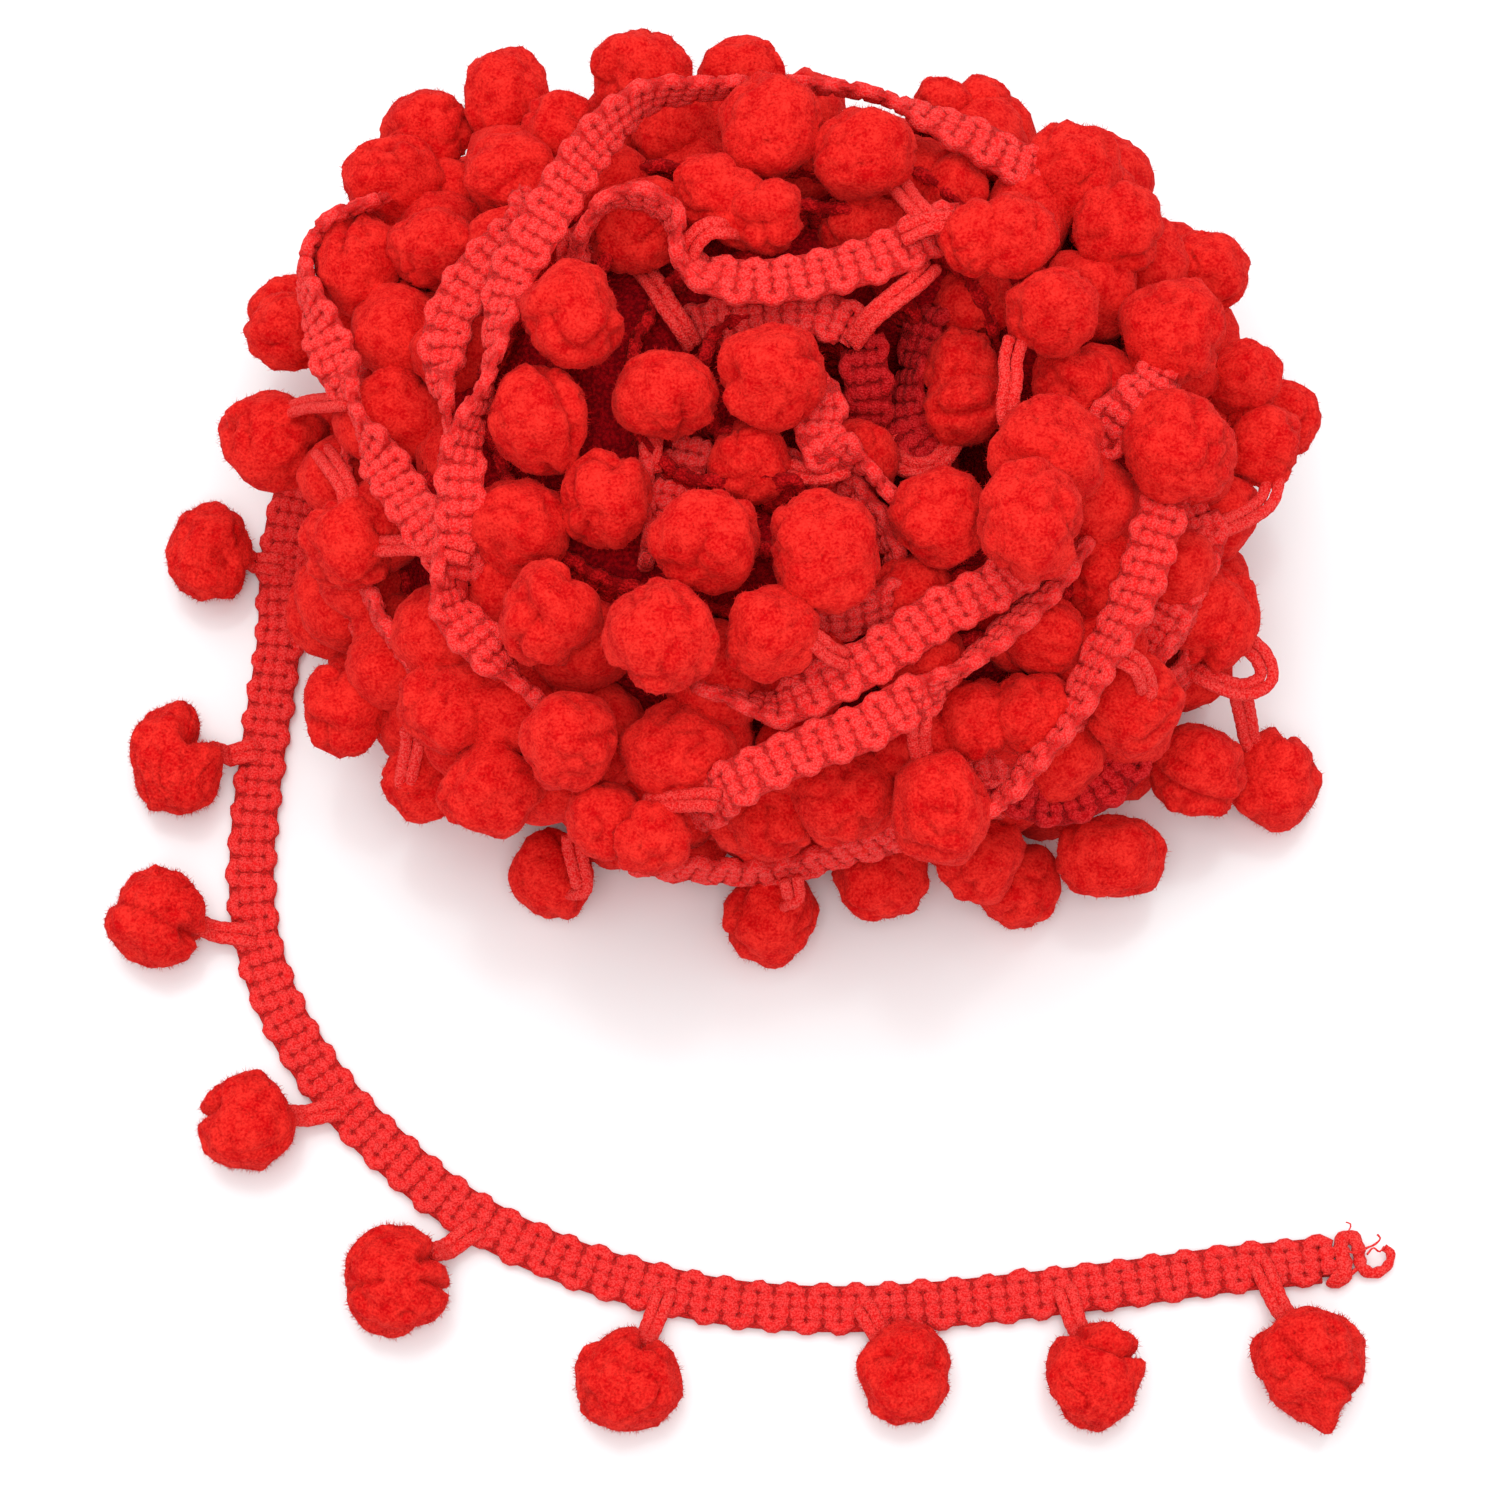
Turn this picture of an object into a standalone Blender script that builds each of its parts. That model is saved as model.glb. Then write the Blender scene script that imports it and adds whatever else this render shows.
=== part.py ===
"""Pompom fringe trim, lying loose on a flat surface.

The trim is a narrow ribbed braid, 5.3 mm wide, with a felt pompom on a short twin-cord loop every
20 mm along one edge.  Most of its length is wound into an oval heap.  The last stretch runs out of
the heap on the left, lies flat on the surface and sweeps round in front of the heap.

Frame: metres, +Z up.  The origin is at the middle of the heap, on the surface that the trim lies on,
and -Y is the front.  All sizes below are in millimetres and become metres in the functions.
"""
import math

import bmesh
import bpy
from mathutils import Matrix, Vector, noise

# ---------------------------------------------------------------- driving sizes (millimetres)
MM = 0.001                 # one millimetre in metres
GAP = 0.3                  # clearance left between pieces that touch
BRAID_WIDTH = 5.3          # across the braid, over the scallops
BRAID_THICK = 1.6          # through the braid, one weft cord thick
PASS_PITCH = 1.65          # from one crossing of the weft cord to the next
SCALLOP = 0.35             # how far a turn of the weft cord stands out at an edge
EDGE_ROUNDING = 0.45       # how far the braid's face stops short of its edge
LOOP_CORD = 1.1            # thickness of one leg of a pompom's loop
LOOP_SPREAD = 1.3          # between the two legs of a loop, centre to centre
FLAT_SPOT = 0.4            # how much a pompom is pressed flat where it rests
LUMP = 0.28                # unevenness of a pompom's felt
LUMP_SIZE = 3.2            # breadth of one such lump
ROUTE_FINENESS = 24        # short steps between two points of a route while its length is taken
STRAND_STEP = 2.4          # between two cross-sections of a strand in the heap
STRAND_THICK = 4.0         # through a strand in the heap, with the turns that lie against it
SQUARENESS = 2.6           # exponent of the heap's ovals: 2 is an ellipse, more is boxier
TURN_LEAN = 80             # lean of the turns round the flanks, nearly on edge
GROOVE_CROSSINGS = 18      # crossings of the tail that lie in a groove under the heap
GROOVE_DEPTH = 1.0         # how far the groove's cutter reaches below the braid
HEAP_VOXEL = 1.15          # fineness at which turns and pompoms are fused into one form
HEAP_FACES = 4250          # triangles kept in the heap

# ---------------------------------------------------------------- the heap's pompoms
# One row for each pompom on the outside of the heap: x, y, z of its middle and its diameter.
HEAP_POMPOMS = {
    "back rim": (
        (-28, 37, 28, 9), (-14, 36, 34, 9.5), (-4, 38, 30, 8), (-36, 34, 25, 9), (-39, 27, 28, 10.5),
        (-27, 24, 36, 9.5), (-22, 30, 33, 8.5), (-10, 30, 34, 9.5), (-1, 25, 44, 9.5),
        (8, 22, 44, 9.5), (-4, 16, 46, 10.5), (16, 34, 32, 7), (20, 35, 30, 7), (17, 22, 36, 8.5),
        (8, 17, 38, 8.5), (-14, 18, 34, 8.5)),
    "right side": (
        (29, 24, 36, 10.5), (33, 17, 38, 9.5), (21, 12, 47, 9.5), (26, 5, 45, 9.5), (38, 6, 38, 10.5),
        (43, 18, 26, 8), (46, 6, 27, 8), (48, 0, 24, 9), (50.5, 5, 18.5, 8), (38, -7, 40, 10.5),
        (28, 0, 38, 9), (19, 10, 36, 8), (18, 1, 36, 9), (25, -10, 45, 10.5), (23, -18, 49, 10.5),
        (15, -15, 42, 9), (43, -17, 20, 9.5), (31, -17, 32, 8.5)),
    "crown": (
        (-1, -2, 46, 10), (-11, -4, 45, 9.5), (-20, 3, 48, 10.5), (-23, -6, 44, 10), (-17, -11, 37, 9),
        (-3, -9, 40, 9), (-7, -19, 46, 10.5), (4, -20, 46, 11), (-25, -15, 39, 9), (-22, -25, 42, 10),
        (-11, -29, 47, 10.5), (-1, -28, 45, 10), (13, -21, 36, 8.5)),
    "left side": (
        (-51, 2, 20, 10), (-42, 17, 30, 10), (-34, 17, 33, 8.5), (-50, 16, 16, 8), (-51, 21, 11, 7.5),
        (-38, 12, 27, 8.5), (-38, 2, 29, 8.5), (-35, 11, 28, 7.5), (-42, -13, 30, 9.5),
        (-46, -12, 11, 9.5), (-38, -19, 20, 9), (-43, -25, 16, 9.5), (-32, -29, 28, 9.5)),
    "front slope": (
        (-20, -36, 38, 9.5), (-10, -36, 35, 9.5), (-15, -42, 33, 9), (-28, -37, 26, 9.5),
        (-35, -32, 15, 8.5), (-23, -39, 4.6, 9.5), (-1, -43.7, 4.8, 10), (10, -40, 8, 9),
        (20, -39, 11, 9), (24, -40, 4.2, 8.5), (33, -39, 9, 10), (15, -41, 32, 10.5),
        (6, -38, 28, 9.5), (-1, -39, 24, 9), (22, -31, 32, 10), (25, -24, 34, 8.5),
        (34, -29, 28, 10), (42, -30, 11, 9.5), (49, -29, 4.8, 9.5)),
}

# Under the rim the flanks are closed by courses of pompoms and, between them, turns of braid on
# edge.  Each runs round an oval at height z that reaches half_x to each side, back and front.
FLANK_COURSES = (
    {"z": 4.4, "half_x": 43, "back": 37, "front": 34.5, "count": 26, "first": 7},
    {"z": 13.0, "half_x": 44, "back": 38, "front": 35, "count": 27, "first": 0},
    {"z": 21.5, "half_x": 43, "back": 37, "front": 37, "count": 26, "first": 3},
)
FLANK_TURNS = (
    {"z": 9.0, "half_x": 45, "back": 39, "front": 36},
    {"z": 17.5, "half_x": 45, "back": 39, "front": 38},
    {"z": 27.0, "half_x": 43, "back": 36, "front": 37},
)
# The mass of inner turns, as ovals from the base up to the crown.
INNER_OVALS = (
    {"z": -1, "half_x": 40, "back": 34, "front": 30},
    {"z": 10, "half_x": 40, "back": 34, "front": 32},
    {"z": 20, "half_x": 40, "back": 34, "front": 34},
    {"z": 29, "half_x": 39, "back": 33, "front": 35},
    {"z": 36, "half_x": 34, "back": 27, "front": 31},
    {"z": 40, "half_x": 25, "back": 18, "front": 24},
)
FLANK_POMPOM = 9.5         # diameter of the pompoms in the courses
TURN_POINTS = 32           # points along one turn or oval

# ---------------------------------------------------------------- the heap's outermost turns
# Each turn of braid that lies over the heap: points x, y, z along it and its lean, in degrees from
# lying face up (0) to standing on its edge (90).
HEAP_TURNS = {
    "over the crown": (
        (-30, -18, 40, 5), (-30, -9, 43, 10), (-27, 1, 46, 60), (-24, 12, 48, 40), (-19, 21, 47, -50),
        (-11, 31, 43, -85), (1, 33, 42, -85), (12, 30, 41, -50), (23, 24, 40, 0)),
    "left flank": (
        (-41, 24, 32, 60), (-45, 16, 30, 70), (-42, 8, 33, 0), (-39, -1, 35, 60), (-34, -9, 38, 15),
        (-31, -19, 38, 60), (-23, -30, 35, 60)),
    "crown arch": (
        (-19, 13, 43, 80), (-16, 19, 48, 80), (-10, 16, 48, 70), (-6, 9, 46, 10), (5, 8, 46, 0),
        (16, 13, 44, 50)),
    "front upper": ((-3, -33, 38, 60), (6, -30, 40, 0), (14, -25, 41, 0), (23, -21, 41, 10)),
    "front lower": (
        (-13, -42, 38, 60), (-3, -40, 40, 0), (8, -36, 40, 0), (17, -30, 40, 70), (26, -22, 38, 60)),
    "front foot": ((-13, -38, 15, 80), (-6, -39, 12, 85), (1, -39, 12, 85), (9, -37, 15, 75)),
    "right front": ((37, -13, 38, 0), (34, -22, 38, 0), (29, -31, 36, 40), (24, -37, 33, 40)),
}
# The dip in the crown, an egg shape taken out of the inner turns.
HOLLOW = {"x": 12, "y": -6, "z": 47, "half_x": 13, "half_y": 13, "half_z": 16}

# ---------------------------------------------------------------- the loose tail
# Middle line of the braid on the surface, from inside the heap's foot to the free end.
TAIL_ROUTE = (
    (-39, 16), (-45, 13), (-49, 8), (-51.1, 2), (-51.8, -5), (-51.8, -12), (-52.6, -20),
    (-53.4, -28), (-53.8, -36), (-53.3, -43), (-51.2, -50), (-48, -56), (-43.8, -61.7),
    (-38.7, -66.8), (-33, -71.6), (-27, -75.2), (-20, -78.2), (-13, -80.3), (-6, -81.8),
    (1, -82.5), (8, -82.6), (15, -82.2), (22, -81.5), (29, -80.7), (36, -79.8), (43, -78.8),
    (49, -78.2), (55, -77.6))

# One row for each pompom on the tail: the middle of the pompom, its sizes along X and Y, and the
# foot of its loop on the braid.
TAIL_POMPOMS = (
    {"x": -59.2, "y": -3.6, "size_x": 8.6, "size_y": 10.4, "foot": (-52.4, -4.2)},
    {"x": -61.4, "y": -26.5, "size_x": 9.6, "size_y": 11.4, "foot": (-54.2, -24.7)},
    {"x": -62.8, "y": -43.5, "size_x": 9.8, "size_y": 9.8, "foot": (-54.0, -44.4)},
    {"x": -52.8, "y": -64.6, "size_x": 9.4, "size_y": 9.6, "foot": (-44.6, -62.6)},
    {"x": -37.7, "y": -80.5, "size_x": 10.8, "size_y": 10.8, "foot": (-30.6, -75.0)},
    {"x": -14.9, "y": -90.6, "size_x": 10.0, "size_y": 10.0, "foot": (-11.6, -81.6)},
    {"x": 12.1, "y": -89.8, "size_x": 9.0, "size_y": 9.8, "foot": (8.4, -83.0)},
    {"x": 30.6, "y": -89.8, "size_x": 9.4, "size_y": 9.4, "foot": (28.2, -81.4)},
    {"x": 51.5, "y": -89.4, "size_x": 10.8, "size_y": 10.8, "foot": (47.6, -78.8)},
)

RED = {
    "felt": (0.78, 0.012, 0.010, 1.0),
    "braid": (0.80, 0.035, 0.030, 1.0),
    "loop": (0.76, 0.030, 0.026, 1.0),
}


# ---------------------------------------------------------------- helpers
def clear_scene():
    """Start from an empty scene."""
    for obj in list(bpy.data.objects):
        bpy.data.objects.remove(obj, do_unlink=True)


def make_material(name, colour, roughness):
    """A dyed yarn finish: no metal, no gloss."""
    material = bpy.data.materials.new(name)
    material.use_nodes = True
    shader = material.node_tree.nodes["Principled BSDF"]
    shader.inputs["Base Color"].default_value = colour
    shader.inputs["Roughness"].default_value = roughness
    shader.inputs["Metallic"].default_value = 0.0
    material.diffuse_color = colour
    return material


def add_object(name, bm, material=None, smooth=True):
    """Turn a bmesh into a linked object with one material."""
    mesh = bpy.data.meshes.new(name)
    bm.to_mesh(mesh)
    bm.free()
    obj = bpy.data.objects.new(name, mesh)
    bpy.context.scene.collection.objects.link(obj)
    if material is not None:
        mesh.materials.append(material)
    if smooth:
        mesh.shade_smooth()
    return obj


def catmull(before, start, end, after, t):
    """A point on the smooth curve between start and end."""
    return 0.5 * (2 * start + (end - before) * t
                  + (2 * before - 5 * start + 4 * end - after) * t * t
                  + (3 * start - before - 3 * end + after) * t ** 3)


def smooth_route(points, step):
    """Evenly spaced points, step apart, on the smooth curve through the given ones."""
    knots = [Vector(point) for point in points]
    knots = [2 * knots[0] - knots[1]] + knots + [2 * knots[-1] - knots[-2]]
    dense = []
    for index in range(1, len(knots) - 2):
        for part in range(ROUTE_FINENESS):
            dense.append(catmull(*knots[index - 1:index + 3], part / ROUTE_FINENESS))
    dense.append(knots[-2])
    length = sum((b - a).length for a, b in zip(dense, dense[1:]))
    count = max(2, round(length / step))
    route = [dense[0]]
    walked = 0.0
    for here, there in zip(dense, dense[1:]):
        stride = (there - here).length
        while len(route) < count and walked + stride >= len(route) * length / count:
            share = (len(route) * length / count - walked) / stride
            route.append(here.lerp(there, share))
        walked += stride
    route.append(dense[-1])
    return route


def bridge_rings(bm, rings):
    """Skin a row of closed rings of vertices into one capped body."""
    for ring, following in zip(rings, rings[1:]):
        for index in range(len(ring)):
            nxt = (index + 1) % len(ring)
            bm.faces.new((ring[index], ring[nxt], following[nxt], following[index]))
    bm.faces.new(reversed(rings[0]))
    bm.faces.new(rings[-1])
    bmesh.ops.recalc_face_normals(bm, faces=bm.faces)


# ---------------------------------------------------------------- the heap
def oval_point(oval, bearing):
    """The point at a bearing, in degrees from +X, on one of the heap's ovals."""
    cosine = math.cos(math.radians(bearing))
    sine = math.sin(math.radians(bearing))
    reach = oval["back"] if sine > 0 else oval["front"]
    bulge = 2 / SQUARENESS
    return (oval["half_x"] * math.copysign(abs(cosine) ** bulge, cosine),
            reach * math.copysign(abs(sine) ** bulge, sine), oval["z"])


def heap_pompom_rows():
    """Every pompom of the heap: the placed ones, then the courses round the flanks."""
    rows = [row for region in HEAP_POMPOMS.values() for row in region]
    for course in FLANK_COURSES:
        for index in range(course["count"]):
            bearing = course["first"] + 360 * index / course["count"]
            rows.append((*oval_point(course, bearing), FLANK_POMPOM))
    return rows


def heap_turn_rows():
    """Every strand of the heap, as points with a lean: the placed ones, then those on the flanks."""
    turns = list(HEAP_TURNS.values())
    for turn in FLANK_TURNS:
        bearings = [360 * index / TURN_POINTS for index in range(TURN_POINTS + 1)]
        turns.append([(*oval_point(turn, bearing), TURN_LEAN) for bearing in bearings])
    return turns


def inner_turns():
    """The mass of inner turns: ovals skinned from the base to the crown, with the crown's hollow."""
    bm = bmesh.new()
    rings = []
    for oval in INNER_OVALS:
        bearings = [360 * index / TURN_POINTS for index in range(TURN_POINTS)]
        rings.append([bm.verts.new(Vector(oval_point(oval, bearing)) * MM) for bearing in bearings])
    bridge_rings(bm, rings)
    body = add_object("turns", bm)
    bm = bmesh.new()
    bmesh.ops.create_uvsphere(bm, u_segments=24, v_segments=14, radius=1.0)
    for vert in bm.verts:
        vert.co = Vector((HOLLOW["x"] + vert.co.x * HOLLOW["half_x"],
                          HOLLOW["y"] + vert.co.y * HOLLOW["half_y"],
                          HOLLOW["z"] + vert.co.z * HOLLOW["half_z"])) * MM
    cut_away(body, add_object("hollow", bm))
    return body


def strip_mesh(points):
    """A flat strip of braid through points that carry a lean, as a bmesh."""
    route = smooth_route(points, STRAND_STEP)
    bm = bmesh.new()
    rings = []
    for index, point in enumerate(route):
        ahead = route[min(index + 1, len(route) - 1)].to_3d()
        behind = route[max(index - 1, 0)].to_3d()
        along = (ahead - behind).normalized()
        side = along.cross(Vector((0, 0, 1))).normalized()
        side.rotate(Matrix.Rotation(math.radians(point[3]), 3, along))
        face = side.cross(along).normalized()
        centre = point.to_3d()
        ring = []
        for across, up in ((1, 0), (0.8, 1), (-0.8, 1), (-1, 0), (-0.8, -1), (0.8, -1)):
            place = centre + side * across * BRAID_WIDTH / 2 + face * up * STRAND_THICK / 4
            ring.append(bm.verts.new(place * MM))
        rings.append(ring)
    bridge_rings(bm, rings)
    return bm


def cut_away(target, cutter):
    """Take the cutter's shape out of the target, and drop the cutter."""
    modifier = target.modifiers.new("cut", "BOOLEAN")
    modifier.operation = "DIFFERENCE"
    modifier.solver = "EXACT"
    modifier.object = cutter
    apply_modifiers(target)
    bpy.data.objects.remove(cutter, do_unlink=True)


def apply_modifiers(obj):
    """Replace an object's mesh by the mesh that its modifiers give."""
    bpy.context.view_layer.update()
    graph = bpy.context.evaluated_depsgraph_get()
    mesh = bpy.data.meshes.new_from_object(obj.evaluated_get(graph))
    obj.modifiers.clear()
    obj.data = mesh


def keep_largest_body(obj):
    """Drop any loose scrap so that one closed body is left."""
    bm = bmesh.new()
    bm.from_mesh(obj.data)
    unseen = set(bm.verts)
    bodies = []
    while unseen:
        front = [unseen.pop()]
        body = list(front)
        while front:
            vert = front.pop()
            for edge in vert.link_edges:
                other = edge.other_vert(vert)
                if other in unseen:
                    unseen.remove(other)
                    body.append(other)
                    front.append(other)
        bodies.append(body)
    bodies.sort(key=len)
    scrap = [vert for body in bodies[:-1] for vert in body]
    bmesh.ops.delete(bm, geom=scrap, context="VERTS")
    bm.to_mesh(obj.data)
    bm.free()


def add_box(name, low, high):
    """A plain box between two corners, used to cut."""
    bm = bmesh.new()
    bmesh.ops.create_cube(bm, size=1.0)
    low = Vector(low) * MM
    high = Vector(high) * MM
    for vert in bm.verts:
        vert.co = Vector([low[i] + (vert.co[i] + 0.5) * (high[i] - low[i]) for i in range(3)])
    return add_object(name, bm, smooth=False)


def build_heap():
    """Fuse turns, pompoms and outer strands into one closed form that rests flat on its base."""
    rows = heap_pompom_rows()
    heap = inner_turns()
    bm = bmesh.new()
    bm.from_mesh(heap.data)
    for x, y, z, diameter in rows:
        place = Matrix.Translation(Vector((x, y, z)) * MM)
        bmesh.ops.create_icosphere(bm, subdivisions=3, radius=diameter / 2 * MM, matrix=place)
    for points in heap_turn_rows():
        strip = strip_mesh(points)
        mesh = bpy.data.meshes.new("strip")
        strip.to_mesh(mesh)
        strip.free()
        bm.from_mesh(mesh)
    bm.to_mesh(heap.data)
    bm.free()
    remesh = heap.modifiers.new("fuse", "REMESH")
    remesh.mode = "VOXEL"
    remesh.voxel_size = HEAP_VOXEL * MM
    apply_modifiers(heap)
    keep_largest_body(heap)
    triangles = sum(len(face.vertices) - 2 for face in heap.data.polygons)
    thin = heap.modifiers.new("thin", "DECIMATE")
    thin.ratio = HEAP_FACES / triangles
    apply_modifiers(heap)
    cut_away(heap, add_box("base", (-80, -80, -20), (80, 80, 0)))
    cut_away(heap, tail_groove())
    keep_largest_body(heap)
    heap.name = "wound_heap"
    heap.data.name = "wound_heap"
    heap.data.materials.clear()
    heap.data.materials.append(make_material("wound_red_trim", RED["felt"], 0.95))
    heap.data.shade_smooth()
    return heap


# ---------------------------------------------------------------- the tail
def tail_rings(bm, route, out_left, out_right, top, low):
    """Six-sided cross-sections of the tail's braid at the points of a route, skinned into one body."""
    rings = []
    for index, point in enumerate(route):
        along = (route[min(index + 1, len(route) - 1)] - route[max(index - 1, 0)]).normalized()
        left = Vector((-along.y, along.x, 0))
        far = out_left[index % 2]
        near = -out_right[index % 2]
        ring = []
        for across, up in ((far, 0), (far - EDGE_ROUNDING, top), (near + EDGE_ROUNDING, top),
                           (near, 0), (near + EDGE_ROUNDING, low), (far - EDGE_ROUNDING, low)):
            ring.append(bm.verts.new((point + left * across + Vector((0, 0, up))) * MM))
        rings.append(ring)
    bridge_rings(bm, rings)


def tail_crossings():
    """The points where the weft cord crosses the tail's middle line."""
    return smooth_route([(x, y, BRAID_THICK / 2) for x, y in TAIL_ROUTE], PASS_PITCH)


def tail_braid(material):
    """The tail's braid, with its turns standing out at one edge and then the other."""
    bm = bmesh.new()
    edge = BRAID_WIDTH / 2
    half = BRAID_THICK / 2
    tail_rings(bm, tail_crossings(), (edge, edge - SCALLOP), (edge - SCALLOP, edge), half, -half)
    return add_object("tail_braid", bm, material)


def tail_groove():
    """The clearance that the tail's start needs under the heap, as a cutter."""
    grow = GAP + 0.05
    route = tail_crossings()[:GROOVE_CROSSINGS]
    route[0] = route[0] + (route[0] - route[1]).normalized() * grow
    bm = bmesh.new()
    edge = BRAID_WIDTH / 2 + grow
    half = BRAID_THICK / 2
    wide = (edge + SCALLOP, edge)
    tail_rings(bm, route, wide, wide[::-1], half + grow, -half - GROOVE_DEPTH)
    return add_object("tail_groove", bm)


def build_pompom(number, row, material):
    """One felt ball: uneven, wider one way than the other, and flat where it rests."""
    height = min(row["size_x"], row["size_y"])
    middle = height / 2 - FLAT_SPOT
    bm = bmesh.new()
    bmesh.ops.create_icosphere(bm, subdivisions=3, radius=1.0)
    seed = Vector((number * 7.3, number * 3.1, 0))
    for vert in bm.verts:
        out = vert.co.normalized()
        lump = noise.noise(out * height / 2 / LUMP_SIZE + seed) * LUMP * 2
        place = Vector((out.x * (row["size_x"] / 2 + lump), out.y * (row["size_y"] / 2 + lump),
                        out.z * (height / 2 + lump)))
        place.z = max(place.z, -middle)
        vert.co = place * MM
    ball = add_object(f"tail_pompom_{number}", bm, material)
    ball.location = Vector((row["x"], row["y"], middle)) * MM
    return ball


def build_loop(number, row, material):
    """The twin-cord loop: over the braid, round, and out to the pompom in two legs."""
    foot = Vector(row["foot"])
    ball = Vector((row["x"], row["y"]))
    out = (ball - foot).normalized()
    side = Vector((-out.y, out.x))
    reach = 1 / math.hypot(out.x / (row["size_x"] / 2), out.y / (row["size_y"] / 2))
    radius = LOOP_CORD / 2
    on_braid = BRAID_THICK + GAP + radius
    at_ball = min(row["size_x"], row["size_y"]) / 2 - FLAT_SPOT
    run = (ball - foot).length - reach - LUMP - 2 * GAP
    # One leg, from the braid to the pompom: the share of its run, and its height there.
    leg = ((0.0, on_braid), (0.35, on_braid), (0.7, (on_braid + at_ball) / 2), (1.0, at_ball))
    spread = LOOP_SPREAD / 2
    points = [foot + out * run * share + side * spread for share, _ in reversed(leg)]
    heights = [height for _, height in reversed(leg)]
    points.append(foot - out * spread)
    heights.append(on_braid)
    points += [foot + out * run * share - side * spread for share, _ in leg]
    heights += [height for _, height in leg]
    curve = bpy.data.curves.new(f"tail_loop_{number}", "CURVE")
    curve.dimensions = "3D"
    curve.bevel_depth = radius * MM
    curve.bevel_resolution = 1
    curve.use_fill_caps = True
    spline = curve.splines.new("POLY")
    spline.points.add(len(points) - 1)
    for knot, point, height in zip(spline.points, points, heights):
        knot.co = (point.x * MM, point.y * MM, height * MM, 1)
    loop = bpy.data.objects.new(f"tail_loop_{number}", curve)
    bpy.context.scene.collection.objects.link(loop)
    curve.materials.append(material)
    return loop


def build_tail():
    """The loose end of the trim: braid, loops and pompoms."""
    tail_braid(make_material("red_braid", RED["braid"], 0.9))
    felt = make_material("red_felt", RED["felt"], 0.95)
    cord = make_material("red_loop_cord", RED["loop"], 0.9)
    for number, row in enumerate(TAIL_POMPOMS, start=1):
        build_pompom(number, row, felt)
        build_loop(number, row, cord)


def main():
    """Build the whole trim."""
    clear_scene()
    build_heap()
    build_tail()


main()
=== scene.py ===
# %% [markdown]
# # A heap of pompom fringe trim
#
# Pompom trim is a narrow ribbed braid with a felt ball on a short loop every 20 mm along one edge.
# Here a few metres of it lie loosely wound in an oval heap, and the loose end curves round in front.
# The lesson first sets the camera and the light, then makes one finish for each kind of yarn, then
# the loose end, and last the heap.  Places and sizes are in millimetres, and +Z is up.

# %% Load the frame
import math

import bpy
import numpy as np
from mathutils import Euler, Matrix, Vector, noise


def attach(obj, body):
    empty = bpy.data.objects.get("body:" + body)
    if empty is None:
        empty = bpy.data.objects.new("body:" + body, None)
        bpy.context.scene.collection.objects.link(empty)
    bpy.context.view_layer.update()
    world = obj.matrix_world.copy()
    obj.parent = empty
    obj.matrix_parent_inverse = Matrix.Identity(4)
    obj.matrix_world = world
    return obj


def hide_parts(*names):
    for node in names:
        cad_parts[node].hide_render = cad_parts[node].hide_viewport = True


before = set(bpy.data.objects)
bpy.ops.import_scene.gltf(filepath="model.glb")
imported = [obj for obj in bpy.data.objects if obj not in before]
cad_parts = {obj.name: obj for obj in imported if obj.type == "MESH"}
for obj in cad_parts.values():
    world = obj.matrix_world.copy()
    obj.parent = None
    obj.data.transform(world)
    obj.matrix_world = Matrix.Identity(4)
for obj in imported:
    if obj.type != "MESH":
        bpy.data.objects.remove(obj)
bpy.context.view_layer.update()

MM = 0.001
bpy.ops.object.select_all(action="DESELECT")

# %% [markdown]
# ## Camera
#
# The trim is seen from the front and steeply from above.  A short lens close by would make the
# nearest pompoms swell, so a long lens half a metre away is used, which keeps the pompoms at the
# back nearly as large as those in front.

# %% Camera
AIM = Vector((-3, -24, 0))
STAND = Vector((-3, -177.7, 446.3))
FOCAL_LENGTH = 110
SENSOR_WIDTH = 36

bpy.ops.object.camera_add(location=STAND * MM)
camera = bpy.context.object
camera.name = "camera"
camera.rotation_euler = (AIM - STAND).to_track_quat("-Z", "Y").to_euler()
camera.data.lens = FOCAL_LENGTH
camera.data.sensor_width = SENSOR_WIDTH
camera.data.clip_start = 0.01
bpy.context.scene.camera = camera
bpy.context.scene.view_settings.view_transform = "Standard"
print("camera at", tuple(round(c, 3) for c in camera.location))

# %% [markdown]
# ## Floor and light
#
# The trim lies on a smooth white table in a bright studio.  The world gives an even white light from
# all sides, and one broad lamp behind the heap lets soft shadows fall towards the front.  A weaker
# lamp above the camera shines into the gaps between the pompoms, which are too dark without it.
# The table has a little gloss, so that it mirrors the foot of the heap faintly.

# %% Floor
TABLE_BREADTH = 6
TABLE_DROP = 0.0001
TABLE_WHITE = (0.90, 0.94, 0.95)
TABLE_ROUGHNESS = 0.16


def plain_finish(name, colour, roughness):
    """A one-colour finish with a soft gloss, for the table."""
    material = bpy.data.materials.new(name)
    material.use_nodes = True
    shader = material.node_tree.nodes["Principled BSDF"]
    shader.inputs["Base Color"].default_value = (*colour, 1)
    shader.inputs["Roughness"].default_value = roughness
    return material


bpy.ops.mesh.primitive_plane_add(size=TABLE_BREADTH, location=(0, 0, -TABLE_DROP))
floor = bpy.context.object
floor.name = "studio_table"
floor.data.materials.append(plain_finish("white_table", TABLE_WHITE, TABLE_ROUGHNESS))
print("table, m:", tuple(round(side, 2) for side in floor.dimensions[:2]))

# %% Light
ROOM_LIGHT = 0.87
LAMPS = (
    {"name": "broad_lamp", "place": (-70, 340, 880), "size": 800, "watts": 3.0},
    {"name": "gap_lamp", "place": (-20, -230, 580), "size": 250, "watts": 1.0},
)
for row in LAMPS:
    bpy.ops.object.light_add(type="AREA", location=Vector(row["place"]) * MM)
    lamp = bpy.context.object
    lamp.name = row["name"]
    lamp.data.size = row["size"] * MM
    lamp.data.energy = row["watts"]
    lamp.rotation_euler = (AIM - Vector(row["place"])).to_track_quat("-Z", "Y").to_euler()

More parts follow.
